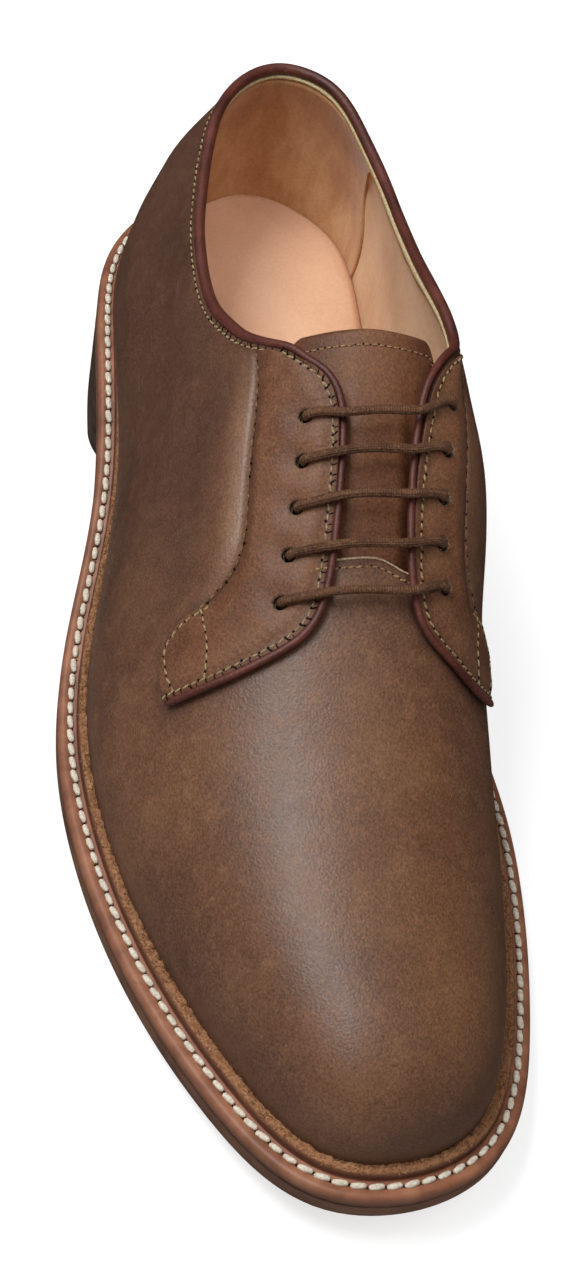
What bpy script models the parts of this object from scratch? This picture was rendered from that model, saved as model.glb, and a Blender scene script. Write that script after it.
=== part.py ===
"""Plain toe derby, right shoe: stitched sole and heel, hollow upper, facings, tongue and lace.

Design space is in millimetres: station runs from the back of the heel to the toe, x is positive on the
medial side and z is height over the floor. The placed part is in metres, toe towards -Y, medial +X.
"""
import bmesh
import bpy
import numpy as np

MM = 0.001
GAP = 0.3

# Driving sizes
LENGTH = 305.5
HEEL_HEIGHT = 26.3
HEEL_BREAST = 72.0
SEAT_END = 55.0
SEAT_TILT = 0.03
TREAD_START = 187.0
TREAD_END = 217.0
TOE_SPRING = 9.5
SPRING_POWER = 1.8
SOLE_THICKNESS = 5.2
WELT_THICKNESS = 3.5
FLANGE = 8.3
INSOLE_THICKNESS = 6.0
WALL = 2.0
FACING_THICKNESS = 1.5
TONGUE_THICKNESS = 2.0
BINDING_RADIUS = 1.35
BINDING_SPACING = 7.2
LACE_RADIUS = 1.1
LACE_SPACING = 4.0
EYELET_RADIUS = 2.0

SOLE_TOP = SOLE_THICKNESS
WELT_BASE = SOLE_TOP + GAP
WELT_TOP = WELT_BASE + WELT_THICKNESS

# Outer edge of the welt: station, x, from the back of the heel along the lateral side
WELT_EDGE = (
    (0.0, 0.0),
    (17.5, -30.0),
    (46.0, -41.0),
    (107.0, -45.0),
    (149.0, -52.0),
    (190.0, -54.5),
    (238.5, -44.5),
    (281.5, -25.5),
    (305.5, -2.0),
    (297.5, 32.5),
    (258.5, 49.5),
    (200.0, 55.0),
    (150.0, 46.5),
    (108.0, 40.0),
    (50.5, 38.0),
    (17.0, 30.5),
)

# Sections of the last. Each side leaves the welt with a handle that stands out by "out" and up by the
# share "up" of the rise, and reaches the ridge with a level handle of the share "top" of its width.
SECTION_COLUMNS = ("station", "ridge_x", "ridge_z",
                   "lat_out", "lat_up", "lat_top", "med_out", "med_up", "med_top")
SECTIONS = (
    (32, 2, 120.0, 5, 0.42, 0.50, 5, 0.42, 0.50),
    (48, 3, 120.0, 4, 0.40, 0.28, 4, 0.42, 0.70),
    (70, 4, 120.0, 3, 0.40, 0.38, 4, 0.42, 0.84),
    (100, 7, 117.0, 4, 0.42, 0.46, 8, 0.52, 0.92),
    (130, 10, 108.0, 5, 0.42, 0.50, 11, 0.60, 0.94),
    (146, 10, 99.0, 5, 0.42, 0.52, 12, 0.65, 0.94),
    (166, 9, 87.0, 5, 0.42, 0.55, 10, 0.62, 0.90),
    (186, 8, 75.0, 5, 0.42, 0.60, 7, 0.58, 0.80),
    (210, 8, 63.3, 4, 0.45, 0.65, 4, 0.53, 0.72),
    (240, 8, 53.5, 3, 0.50, 0.70, 3, 0.52, 0.70),
    (272, 9, 46.0, 2, 0.55, 0.70, 2, 0.55, 0.70),
)
HEEL_CENTRE = 32.0
TOE_CENTRE = 268.0
FAN_SHARE = 0.94
FAN_BLEND = 5.0

# Cut edge of the upper: share along the outline, share of the rise on each side
TOPLINE = (
    (0.00, 0.455, 0.455),
    (0.05, 0.450, 0.452),
    (0.10, 0.450, 0.440),
    (0.15, 0.452, 0.430),
    (0.20, 0.452, 0.426),
    (0.25, 0.437, 0.445),
    (0.30, 0.432, 0.478),
    (0.35, 0.492, 0.555),
    (0.40, 0.610, 0.655),
    (0.436, 0.754, 0.750),
    (0.452, 0.814, 0.798),
    (0.478, 0.870, 0.848),
    (0.525, 0.886, 0.884),
    (0.566, 0.884, 0.882),
)
THROAT_END = 0.566
VAMP_EDGE = 0.574

# Facings, a row for each rung from the topline to the tab: seam end, then edge end, then bead height
FACINGS = {
    "lateral": (
        (0.416, 0.640, 0.438, 0.755, -0.6),
        (0.440, 0.658, 0.455, 0.832, -0.1),
        (0.475, 0.668, 0.479, 0.882, -0.1),
        (0.512, 0.675, 0.522, 0.896, 0.8),
        (0.548, 0.680, 0.574, 0.894, 1.9),
        (0.568, 0.650, 0.612, 0.862, 1.7),
        (0.579, 0.580, 0.629, 0.765, 1.7),
        (0.583, 0.515, 0.635, 0.620, 1.7),
        (0.591, 0.465, 0.632, 0.470, 1.7),
    ),
    "medial": (
        (0.412, 0.600, 0.438, 0.750, -0.6),
        (0.438, 0.635, 0.455, 0.815, -0.1),
        (0.472, 0.660, 0.479, 0.860, -0.1),
        (0.508, 0.672, 0.522, 0.894, 0.8),
        (0.545, 0.655, 0.574, 0.894, 1.9),
        (0.565, 0.600, 0.610, 0.855, 1.7),
        (0.575, 0.540, 0.626, 0.755, 1.7),
        (0.581, 0.480, 0.632, 0.600, 1.7),
        (0.587, 0.425, 0.622, 0.432, 1.7),
    ),
}
SIDES = {"lateral": -1, "medial": 1}

# Eyelets: place of the top one, step to the next, share of the rise at the top and bottom ones, and how
# far the row bows up between them
EYELET_COUNT = 5
EYELETS = {
    "lateral": {"first": 0.479, "step": 0.0294, "rise_top": 0.803, "rise_low": 0.785, "bow": 0.010},
    "medial": {"first": 0.468, "step": 0.0298, "rise_top": 0.752, "rise_low": 0.775, "bow": 0.034},
}

# Rows of the upper and sole along each half of the outline: from, to, steps
ROW_STEPS = (
    (0.0, 0.10, 5),
    (0.10, 0.40, 8),
    (0.40, THROAT_END, 9),
    (THROAT_END, VAMP_EDGE, 1),
    (VAMP_EDGE, 0.64, 4),
    (0.64, 0.88, 7),
    (0.88, 1.0, 6),
)
RISE_STEPS = 10


def spline(knots, values):
    """Natural cubic spline through values at knots, as a function."""
    knots = np.asarray(knots, float)
    values = np.asarray(values, float)
    step = np.diff(knots)
    count = len(knots)
    matrix = np.eye(count)
    right = np.zeros_like(values)
    for i in range(1, count - 1):
        matrix[i, i - 1:i + 2] = step[i - 1], 2 * (step[i - 1] + step[i]), step[i]
        right[i] = 6 * ((values[i + 1] - values[i]) / step[i] - (values[i] - values[i - 1]) / step[i - 1])
    bend = np.linalg.solve(matrix, right)

    def curve(x):
        x = np.clip(np.asarray(x, float), knots[0], knots[-1])
        i = np.clip(np.searchsorted(knots, x) - 1, 0, count - 2)
        a = (knots[i + 1] - x) / step[i]
        weight = step[i] ** 2 / 6
        if values.ndim > 1:
            a = a[..., None]
            weight = weight[..., None]
        b = 1 - a
        return a * values[i] + b * values[i + 1] + ((a**3 - a) * bend[i] + (b**3 - b) * bend[i + 1]) * weight

    return curve


def closed_outline(points, samples=1440):
    """Smooth closed curve through the points."""
    points = np.asarray(points, float)
    overlap = 4
    run = np.vstack([points[-overlap:], points, points[:overlap + 1]])
    knots = np.concatenate([[0], np.cumsum(np.linalg.norm(np.diff(run, axis=0), axis=1) ** 0.5)])
    return spline(knots, run)(np.linspace(knots[overlap], knots[overlap + len(points)], samples + 1))[:-1]


def inward_normals(outline):
    tangent = np.roll(outline, -1, axis=0) - np.roll(outline, 1, axis=0)
    normal = np.stack([tangent[:, 1], -tangent[:, 0]], -1)
    normal /= np.linalg.norm(normal, axis=1)[:, None]
    if np.sum((outline - outline.mean(axis=0)) * normal) > 0:
        normal = -normal
    return normal


def halves(outline, normals):
    """Lateral and medial halves of an outline, heel to toe: share of length, points, inward normals."""
    heel = int(np.argmin(outline[:, 0]))
    outline = np.roll(outline, -heel, axis=0)
    normals = np.roll(normals, -heel, axis=0)
    toe = int(np.argmax(outline[:, 0]))
    ring = np.vstack([outline, outline[:1]])
    ring_normals = np.vstack([normals, normals[:1]])
    result = {}
    for side, part in ((-1, slice(0, toe + 1)), (1, slice(len(ring) - 1, toe - 1, -1))):
        points = ring[part]
        run = np.concatenate([[0], np.cumsum(np.linalg.norm(np.diff(points, axis=0), axis=1))])
        result[side] = (run / run[-1], points, ring_normals[part])
    return result


EDGE = closed_outline(WELT_EDGE)
EDGE_NORMALS = inward_normals(EDGE)
FEATHER = halves(EDGE + FLANGE * EDGE_NORMALS, EDGE_NORMALS)
MIDDLE = (EDGE.min(axis=0) + EDGE.max(axis=0)) / 2
SECTION = {
    name: spline([row[0] for row in SECTIONS], [row[i] for row in SECTIONS])
    for i, name in enumerate(SECTION_COLUMNS)
}
CUT = {side: spline([row[0] for row in TOPLINE], [row[column] for row in TOPLINE])
       for side, column in ((-1, 1), (1, 2))}


def bottom_z(station):
    """Underside of the outsole: seat, arch, flat tread and toe spring."""
    back = np.clip((TREAD_START - station) / (TREAD_START - SEAT_END), 0, 1)
    seat = np.clip(SEAT_END - station, 0, None) * SEAT_TILT
    front = np.clip((station - TREAD_END) / (LENGTH - TREAD_END), 0, None)
    return HEEL_HEIGHT * back**2 * (3 - 2 * back) + seat + TOE_SPRING * front**SPRING_POWER


def feather(side, along):
    """Where the upper meets the welt, in plan."""
    share, points, _ = FEATHER[side]
    return np.stack([np.interp(along, share, points[:, k]) for k in (0, 1)], -1)


def beside(side, along, outward, height):
    """Point beside the feather line, moved outward in plan, at a height over the sole's underside."""
    share, points, normals = FEATHER[side]
    plan = np.stack([np.interp(along, share, points[:, k] - outward * normals[:, k]) for k in (0, 1)], -1)
    return np.array([plan[0], plan[1], bottom_z(plan[0]) + height])


def spine_station(along):
    """Station of the ridge that a section runs to; sections fan about the heel and toe centres."""
    middle = (feather(-1, along)[..., 0] + feather(1, along)[..., 0]) / 2
    heel_fan = np.logaddexp(0, (HEEL_CENTRE - middle) / FAN_BLEND) * FAN_BLEND
    toe_fan = np.logaddexp(0, (middle - TOE_CENTRE) / FAN_BLEND) * FAN_BLEND
    return middle + FAN_SHARE * (heel_fan - toe_fan)


def ridge_slope(station, reach=0.5):
    return (SECTION["ridge_z"](station + reach) - SECTION["ridge_z"](station - reach)) / (2 * reach)


def last(side, along, rise):
    """Outer surface of the upper: along the outline 0 to 1, rise from the welt 0 to the ridge 1."""
    along, rise = np.broadcast_arrays(np.asarray(along, float), np.asarray(rise, float))
    start = feather(side, along)
    start_z = bottom_z(start[..., 0]) + WELT_TOP
    station = spine_station(along)
    prefix = "lat" if side < 0 else "med"
    out, up, top = (SECTION[prefix + name](station) for name in ("_out", "_up", "_top"))
    ridge_z = SECTION["ridge_z"](station)
    across = np.stack([station - start[..., 0], SECTION["ridge_x"](station) - start[..., 1]], -1)
    width = np.linalg.norm(across, axis=-1)
    shoulder_z = ridge_z + ridge_slope(station) * top * (start[..., 0] - station)
    weights = ((1 - rise)**3, 3 * rise * (1 - rise)**2, 3 * rise**2 * (1 - rise), rise**3)
    inward = -weights[1] * out + weights[2] * width * (1 - top) + weights[3] * width
    z = (weights[0] * start_z + weights[1] * (start_z + up * (ridge_z - start_z))
         + weights[2] * shoulder_z + weights[3] * ridge_z)
    plan = start + across * (inward / width)[..., None]
    return np.concatenate([plan, z[..., None]], -1)


def skin(side, along, rise, lift):
    """The upper's surface moved along its outward normal by lift."""
    reach = 1e-3
    along = float(along)
    rise = float(rise)
    if rise > 1 - reach:
        slope = float(ridge_slope(spine_station(along)))
        normal = np.array([-slope, 0, 1])
    else:
        low, high = max(along - reach, 0), min(along + reach, 1)
        ahead = last(side, high, rise) - last(side, low, rise)
        upward = last(side, along, rise + reach) - last(side, along, max(rise - reach, 0))
        normal = side * np.cross(upward, ahead)
    return last(side, along, rise) + lift * normal / np.linalg.norm(normal)


def place(point):
    """Design point in millimetres to the part's frame in metres."""
    return ((point[1] - MIDDLE[1]) * MM, (MIDDLE[0] - point[0]) * MM, point[2] * MM)


def half_rows():
    rows = [0.0]
    for low, high, steps in ROW_STEPS:
        rows.extend(np.linspace(low, high, steps + 1)[1:])
    return rows


def ring_rows(last_row=1.0):
    """Rows round the outline: lateral from the front to the heel, then medial back to the front."""
    rows = [row for row in half_rows() if row < last_row] + [last_row]
    medial = rows[1:] if last_row < 1 else rows[1:-1]
    return [(-1, row) for row in reversed(rows)] + [(1, row) for row in medial]


def make_material(name, colour, roughness):
    material = bpy.data.materials.new(name)
    material.use_nodes = True
    shader = material.node_tree.nodes["Principled BSDF"]
    shader.inputs["Base Color"].default_value = (*colour, 1)
    shader.inputs["Roughness"].default_value = roughness
    shader.inputs["Metallic"].default_value = 0
    return material


def make_object(name, data, material):
    data.materials.append(material)
    piece = bpy.data.objects.new(name, data)
    bpy.context.scene.collection.objects.link(piece)
    return piece


def make_solid(name, points, faces, material):
    """Closed mesh from design points, faces turned outward, shaded smooth."""
    mesh = bpy.data.meshes.new(name)
    mesh.from_pydata([place(point) for point in points], [], faces)
    shape = bmesh.new()
    shape.from_mesh(mesh)
    bmesh.ops.remove_doubles(shape, verts=shape.verts, dist=1e-6)
    bmesh.ops.recalc_face_normals(shape, faces=shape.faces)
    shape.to_mesh(mesh)
    shape.free()
    mesh.shade_smooth()
    return make_object(name, mesh, material)


def strip_faces(rows, columns, wrap):
    """Quads of a grid of rows by columns, wrapped round from the last row to the first if asked."""
    faces = []
    for i in range(rows if wrap else rows - 1):
        j = (i + 1) % rows
        for k in range(columns - 1):
            faces.append((i * columns + k, j * columns + k, j * columns + k + 1, i * columns + k + 1))
    return faces


def slab(name, outer, inner, material):
    """Sheet with thickness between two grids of the same shape."""
    rows, columns = len(outer), len(outer[0])
    points = [p for row in outer for p in row] + [p for row in inner for p in row]
    shift = rows * columns
    sheet = strip_faces(rows, columns, wrap=False)
    faces = sheet + [tuple(shift + v for v in reversed(face)) for face in sheet]
    border = [(0, k) for k in range(columns)]
    border += [(i, columns - 1) for i in range(1, rows)]
    border += [(rows - 1, k) for k in range(columns - 2, -1, -1)]
    border += [(i, 0) for i in range(rows - 2, 0, -1)]
    ids = [i * columns + k for i, k in border]
    for a, b in zip(ids, ids[1:] + ids[:1]):
        faces.append((a, b, shift + b, shift + a))
    return make_solid(name, points, faces, material)


def sole_solid(name, profile, rows, material):
    """Solid plate: a side profile carried round the rows, closed by ladders of faces above and below."""
    grid = [profile(side, along) for side, along in rows]
    count, columns = len(grid), len(grid[0])
    full_ring = rows[0][1] == 1.0
    faces = strip_faces(count, columns, wrap=full_ring)
    ends = [0, columns - 1]
    lateral = list(range(count // 2 + 1))
    medial = [(count - i) % count if full_ring else count - 1 - i for i in lateral]
    for column in ends:
        for a, b in zip(range(len(lateral) - 1), range(1, len(lateral))):
            ladder = (lateral[a], lateral[b], medial[b], medial[a])
            face = tuple(dict.fromkeys(v * columns + column for v in ladder))
            if len(face) > 2:
                faces.append(face)
    if not full_ring:
        for k in range(columns - 1):
            front = (count - 1) * columns
            faces.append((k, k + 1, front + k + 1, front + k))
    return make_solid(name, [p for row in grid for p in row], faces, material)


def make_outsole(material):
    def profile(side, along):
        edge = FLANGE - 0.2
        return [
            beside(side, along, edge - 2.0, 0),
            beside(side, along, edge - 0.5, 1.0),
            beside(side, along, edge, 2.5),
            beside(side, along, edge, SOLE_TOP),
        ]
    return sole_solid("outsole", profile, ring_rows(), material)


def make_heel(material):
    """Heel block: follows the seat above, flat below, straight across at the breast."""
    share, points, _ = FEATHER[-1]
    breast = float(np.interp(HEEL_BREAST, points[:, 0], share))

    def profile(side, along):
        levels = ((0.0, FLANGE - 1.6), (0.06, FLANGE - 1.1), (0.5, FLANGE - 1.0), (1.0, FLANGE - 0.4))
        column = []
        for share_up, outward in levels:
            point = beside(side, along, outward, 0)
            column.append(np.array([point[0], point[1], share_up * (point[2] - GAP)]))
        return column
    return sole_solid("heel", profile, ring_rows(breast), material)


def make_insole(material):
    def profile(side, along):
        inset = WALL + GAP
        return [
            beside(side, along, -inset, WELT_BASE),
            beside(side, along, -inset, WELT_BASE + INSOLE_THICKNESS - 1),
            beside(side, along, -inset - 1, WELT_BASE + INSOLE_THICKNESS),
        ]
    return sole_solid("insole", profile, ring_rows(), material)


def make_welt(material):
    """Storm welt: flange with a stitch groove, and a raised bead along the upper."""
    bead_height = 2.5
    bead = WELT_TOP + bead_height
    wall_rise = 0.06

    def profile(side, along):
        wall = last(side, along, wall_rise)
        foot = last(side, along, 0)
        rise = wall[2] - foot[2]
        lean = np.linalg.norm(wall[:2] - foot[:2]) * bead_height / rise
        sizes = (
            (GAP, WELT_BASE), (GAP, WELT_TOP), (GAP + lean + 0.1, bead - 0.2), (1.2 + lean, bead),
            (2.3, bead - 0.5), (2.9, bead - 1.5), (3.1, WELT_TOP - 0.3), (5.0, WELT_TOP - 0.3),
            (5.6, WELT_TOP), (FLANGE - 0.8, WELT_TOP - 0.1), (FLANGE, WELT_TOP - 1.1),
            (FLANGE - 0.2, WELT_BASE),
        )
        return [beside(side, along, outward, height) for outward, height in sizes]

    grid = [profile(side, along) for side, along in ring_rows()]
    count, columns = len(grid), len(grid[0])
    faces = strip_faces(count, columns, wrap=True)
    for i in range(count):
        j = (i + 1) % count
        faces.append((i * columns, i * columns + columns - 1, j * columns + columns - 1, j * columns))
    return make_solid("welt", [p for row in grid for p in row], faces, material)


def cut_rise(side, along):
    """Share of the rise at the upper's cut edge; closed over the ridge in front of the throat."""
    return 1.0 if along > THROAT_END + 1e-6 else float(CUT[side](along))


def make_upper(material):
    """Hollow wall round the outline, closed over the vamp, open at collar, throat and underneath."""
    rows = ring_rows()
    outer, inner = [], []
    for side, along in rows:
        top = cut_rise(side, along)
        rises = np.linspace(0, 1, RISE_STEPS + 1) * top
        base = beside(side, along, 0, WELT_BASE)
        inner_base = beside(side, along, -WALL, WELT_BASE)
        outer.append([base] + [last(side, along, rise) for rise in rises])
        inner.append([inner_base] + [skin(side, along, rise, -WALL) for rise in rises])
    count, columns = len(rows), len(outer[0])
    shift = count * columns
    sheet = strip_faces(count, columns, wrap=True)
    faces = sheet + [tuple(shift + v for v in reversed(face)) for face in sheet]
    for i in range(count):
        j = (i + 1) % count
        foot = (i * columns, j * columns)
        faces.append((*foot, shift + foot[1], shift + foot[0]))
        if min(rows[i][1], rows[j][1]) <= THROAT_END + 1e-6:
            edge = (i * columns + columns - 1, j * columns + columns - 1)
            faces.append((*edge, shift + edge[1], shift + edge[0]))
    points = [p for row in outer for p in row] + [p for row in inner for p in row]
    return make_solid("upper", points, faces, material)


def facing_curves(name):
    """Seam, edge and bead height of a facing as functions of the rung number."""
    table = np.array(FACINGS[name])
    rungs = np.arange(len(table))
    return spline(rungs, table[:, 0:2]), spline(rungs, table[:, 2:4]), spline(rungs, table[:, 4])


def make_facing(name, material):
    side = SIDES[name]
    seam, edge, _ = facing_curves(name)
    across_steps = 5
    outer, inner = [], []
    for rung in np.linspace(0, len(FACINGS[name]) - 1, 23):
        spots = [seam(rung) + (edge(rung) - seam(rung)) * k / across_steps for k in range(across_steps + 1)]
        outer.append([skin(side, along, rise, GAP + FACING_THICKNESS) for along, rise in spots])
        inner.append([skin(side, along, rise, GAP) for along, rise in spots])
    return slab("facing_" + name, outer, inner, material)


def make_tongue(material):
    """Leather tongue along the ridge, under the facings, with its front end against the vamp."""
    top, sweep, front = 0.430, 0.016, 0.665
    lift = spline((top - sweep, 0.50, 0.56, 0.61, front), (-5.4, -5.6, -5.7, -5.5, -WALL - GAP))
    half_width = 0.32
    across_steps = 5
    spread = np.arange(across_steps, -1, -1) / across_steps
    across = [(-1, s) for s in spread] + [(1, s) for s in reversed(spread[:-1])]
    outer, inner = [], []
    for share in np.linspace(0, 1, 13):
        spots = []
        for side, s in across:
            start = top - sweep * s**2
            along = start + (front - start) * share
            spots.append((side, along, 1 - half_width * s, float(lift(along))))
        outer.append([skin(*spot) for spot in spots])
        inner.append([skin(*spot[:3], spot[3] - TONGUE_THICKNESS) for spot in spots])
    return slab("tongue", outer, inner, material)


def make_cord(name, points, radius, material):
    """Round cord along a line of points, with closed ends."""
    curve = bpy.data.curves.new(name, "CURVE")
    curve.dimensions = "3D"
    curve.bevel_depth = radius * MM
    curve.bevel_resolution = 1
    curve.use_fill_caps = True
    line = curve.splines.new("POLY")
    line.points.add(len(points) - 1)
    for target, point in zip(line.points, points):
        target.co = (*place(point), 1)
    return make_object(name, curve, material)


def resample(points, spacing):
    points = np.asarray(points, float)
    knots = np.concatenate([[0], np.cumsum(np.linalg.norm(np.diff(points, axis=0), axis=1))])
    count = max(int(round(knots[-1] / spacing)), 2)
    return spline(knots, points)(np.linspace(0, knots[-1], count + 1))


def edge_run(name):
    """Binding spots of one side from the tab tip up the facing and round the collar to the heel."""
    side = SIDES[name]
    _, edge, height = facing_curves(name)
    rungs = np.linspace(len(FACINGS[name]) - 1, 0.5, 40)
    spots = [(side, *edge(rung), float(height(rung))) for rung in rungs]
    collar_end, climb_start, climb = 0.43, 0.38, 0.5
    mid_wall = -WALL / 2
    for along in np.linspace(collar_end, 0.0, 36):
        climb_share = np.clip((along - climb_start) / (collar_end - climb_start), 0, 1)
        spots.append((side, along, float(CUT[side](along)), mid_wall + climb * climb_share))
    return spots


def make_binding(material):
    """Rolled edge: along each facing and round the collar, just outside the cut edge."""
    lateral = edge_run("lateral")
    medial = edge_run("medial")[:-1]
    spots = lateral + medial[::-1]
    on_edge = np.array([last(*spot[:3]) for spot in spots])
    raised = np.array([skin(*spot[:3], 1.0) for spot in spots])
    lifts = np.array([spot[3] for spot in spots])[:, None]
    normals = raised - on_edge
    tangents = np.gradient(on_edge, axis=0)
    beyond = np.cross(tangents, normals)
    beyond /= np.linalg.norm(beyond, axis=1)[:, None]
    reach = BINDING_RADIUS + 1.8 * GAP
    centres = on_edge + normals * lifts + beyond * reach
    return make_cord("binding", resample(centres, BINDING_SPACING), BINDING_RADIUS, material)


def eyelet(name, number):
    row = EYELETS[name]
    share = number / (EYELET_COUNT - 1)
    rise = row["rise_top"] + (row["rise_low"] - row["rise_top"]) * share
    return row["first"] + row["step"] * number, rise + row["bow"] * 4 * share * (1 - share)


def make_eyelet_cutter(name):
    """Pins along the surface normal at each eyelet."""
    side = SIDES[name]
    sides, reach = 12, 5.0
    points, faces = [], []
    for number in range(EYELET_COUNT):
        along, rise = eyelet(name, number)
        low, high = skin(side, along, rise, -reach), skin(side, along, rise, reach)
        axis = (high - low) / np.linalg.norm(high - low)
        first = np.cross(axis, (1, 0, 0))
        first /= np.linalg.norm(first)
        second = np.cross(axis, first)
        start = len(points)
        for end in (low, high):
            for turn in np.arange(sides) * 2 * np.pi / sides:
                points.append(end + EYELET_RADIUS * (np.cos(turn) * first + np.sin(turn) * second))
        for k in range(sides):
            j = (k + 1) % sides
            faces.append((start + k, start + j, start + sides + j, start + sides + k))
        faces.append(tuple(range(start, start + sides)))
        faces.append(tuple(range(start + 2 * sides - 1, start + sides - 1, -1)))
    label = "eyelet_pins_" + name
    cutter = make_solid(label, points, faces, make_material(label, (1, 1, 1), 1))
    cutter.hide_render = True
    cutter.display_type = "WIRE"
    return cutter


def punch(piece, cutter):
    cut = piece.modifiers.new("eyelets_" + cutter.name, "BOOLEAN")
    cut.operation = "DIFFERENCE"
    cut.solver = "EXACT"
    cut.object = cutter


# Lacing: bars in the order that the lace makes them, each from one side to the other, then the hidden
# run inside to the next bar with its sidestep as a share of the rise
LACE_RUNS = (
    (0, "medial", 0.045),
    (2, "lateral", 0.045),
    (4, "medial", 0.0),
    (3, "lateral", -0.045),
    (1, "medial", -0.045),
)
UNDER_LIFT = -WALL - GAP - LACE_RADIUS - 0.2
HOLE_TOP_LIFT = GAP + FACING_THICKNESS + 0.3
BAR_LIFT = 3.5
BAR_BOWS = (0.014, 0.007, 0.005, 0.007, 0.008)
BEAD_PAST_EDGE = 0.018
BEAD_CLEARANCE = BINDING_RADIUS + LACE_RADIUS + 2 * GAP
MIDDLE_DROP = 1.9


def over_bead(name, along):
    """Rise and lift of the lace's middle where it lies over the binding."""
    table = np.array(FACINGS[name])[:6]
    rise = float(np.interp(along, table[:, 2], table[:, 3])) + BEAD_PAST_EDGE
    return rise, float(np.interp(along, table[:, 2], table[:, 4])) + BEAD_CLEARANCE


def bar_spots(number, start):
    """One bar from the hole on the start side, over both beads, to the hole on the other side."""
    end = "medial" if start == "lateral" else "lateral"
    (along_a, rise_a), (along_b, rise_b) = eyelet(start, number), eyelet(end, number)
    side_a, side_b = SIDES[start], SIDES[end]

    def between(share):
        return along_a + (along_b - along_a) * share + BAR_BOWS[number] * np.sin(np.pi * share)

    climb = ((0.0, UNDER_LIFT), (0.0, 0.0), (0.0, HOLE_TOP_LIFT), (0.012, 3.1), (0.035, BAR_LIFT))
    spots = [(side_a, between(step), rise_a + step, lift) for step, lift in climb]
    bead_a, bead_b = over_bead(start, between(0.3)), over_bead(end, between(0.7))
    spots.append((side_a, between(0.3), *bead_a))
    spots.append((side_a, between(0.5), 1.0, (bead_a[1] + bead_b[1]) / 2 - MIDDLE_DROP))
    spots.append((side_b, between(0.7), *bead_b))
    spots.extend((side_b, between(1 - step), rise_b + step, lift) for step, lift in reversed(climb))
    return spots


def hidden_run(name, first, second, sidestep):
    """Run under the facing from one eyelet to another, stepped aside of those between."""
    start, end = np.array(eyelet(name, first)), np.array(eyelet(name, second))
    spots = []
    for share in (0.2, 0.5, 0.8):
        along, rise = start + (end - start) * share
        spots.append((SIDES[name], along, rise + sidestep, UNDER_LIFT))
    return spots


def make_lace(material):
    spots = []
    for index, (number, start, sidestep) in enumerate(LACE_RUNS):
        end = "medial" if start == "lateral" else "lateral"
        spots.extend(bar_spots(number, start))
        if index + 1 < len(LACE_RUNS):
            spots.extend(hidden_run(end, number, LACE_RUNS[index + 1][0], sidestep))
    points = np.array([skin(*spot) for spot in spots])
    return make_cord("lace", resample(points, LACE_SPACING), LACE_RADIUS, material)


def clear_scene():
    for piece in list(bpy.data.objects):
        bpy.data.objects.remove(piece, do_unlink=True)


def main():
    clear_scene()
    brown = make_material("upper_leather", (0.155, 0.082, 0.045), 0.42)
    make_outsole(make_material("sole_edge", (0.090, 0.052, 0.035), 0.55))
    make_heel(make_material("heel_block", (0.040, 0.030, 0.024), 0.55))
    make_welt(make_material("welt_leather", (0.380, 0.150, 0.085), 0.55))
    make_insole(make_material("insole_leather", (0.680, 0.380, 0.210), 0.60))
    upper = make_upper(brown)
    facings = {name: make_facing(name, brown) for name in SIDES}
    make_tongue(brown)
    make_binding(make_material("binding_leather", (0.155, 0.040, 0.025), 0.35))
    make_lace(make_material("lace_cord", (0.130, 0.065, 0.026), 0.60))
    for name in SIDES:
        cutter = make_eyelet_cutter(name)
        punch(upper, cutter)
        punch(facings[name], cutter)


main()
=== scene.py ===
"""Looks of the plain toe derby, a right shoe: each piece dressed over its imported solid.

Tables are in millimetres or in shares. Station runs from the back of the heel to the toe, x is positive
on the medial side and z is height over the floor. The turn runs round the shoe: -1 at the toe, over the
lateral side to 0 at the heel, and over the medial side to 1 at the toe. place() gives the frame's metres.
"""

import math

import bmesh
import bpy
import numpy as np
from mathutils import Matrix, Vector
from mathutils.bvhtree import BVHTree


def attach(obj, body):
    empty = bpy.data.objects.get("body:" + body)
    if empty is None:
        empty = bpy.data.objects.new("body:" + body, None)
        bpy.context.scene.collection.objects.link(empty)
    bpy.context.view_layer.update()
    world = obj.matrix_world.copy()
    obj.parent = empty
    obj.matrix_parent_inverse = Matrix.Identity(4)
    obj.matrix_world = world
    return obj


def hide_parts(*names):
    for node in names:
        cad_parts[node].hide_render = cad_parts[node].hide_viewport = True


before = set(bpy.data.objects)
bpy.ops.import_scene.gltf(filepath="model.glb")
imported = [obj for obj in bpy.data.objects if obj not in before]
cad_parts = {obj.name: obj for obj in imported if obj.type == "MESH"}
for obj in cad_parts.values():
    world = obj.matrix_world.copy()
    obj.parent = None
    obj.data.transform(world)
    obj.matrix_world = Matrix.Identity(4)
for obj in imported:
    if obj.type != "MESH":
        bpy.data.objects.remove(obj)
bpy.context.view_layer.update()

# Outsole
# A plate of dark sole leather, cut to the outline of the shoe and stitched up to the welt. Its edge is
# trimmed round, inked dark brown and burnished. It springs at the toe and arches at the waist.
MM = 0.001
SOLE_LENGTH = 305.5
SOLE_THICKNESS = 5.2
FLANGE = 8.3
HEEL_HEIGHT = 26.3
SEAT_END = 55.0
SEAT_TILT = 0.03
TREAD_START = 187.0
TREAD_END = 217.0
TOE_SPRING = 9.5
SPRING_POWER = 1.8
OUTSOLE_ROWS = 320

# Edge of the welt in plan: station, x, from the back of the heel along the lateral side
WELT_EDGE = (
    (0.0, 0.0), (17.5, -30.3), (46.0, -42.0), (107.0, -44.5), (149.0, -52.0), (190.0, -54.5),
    (238.5, -44.5), (281.5, -25.5), (305.5, -2.0), (297.5, 33.2), (258.5, 50.6), (200.0, 55.2),
    (150.0, 46.5), (108.0, 40.0), (50.5, 38.0), (17.0, 30.5),
)

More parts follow.
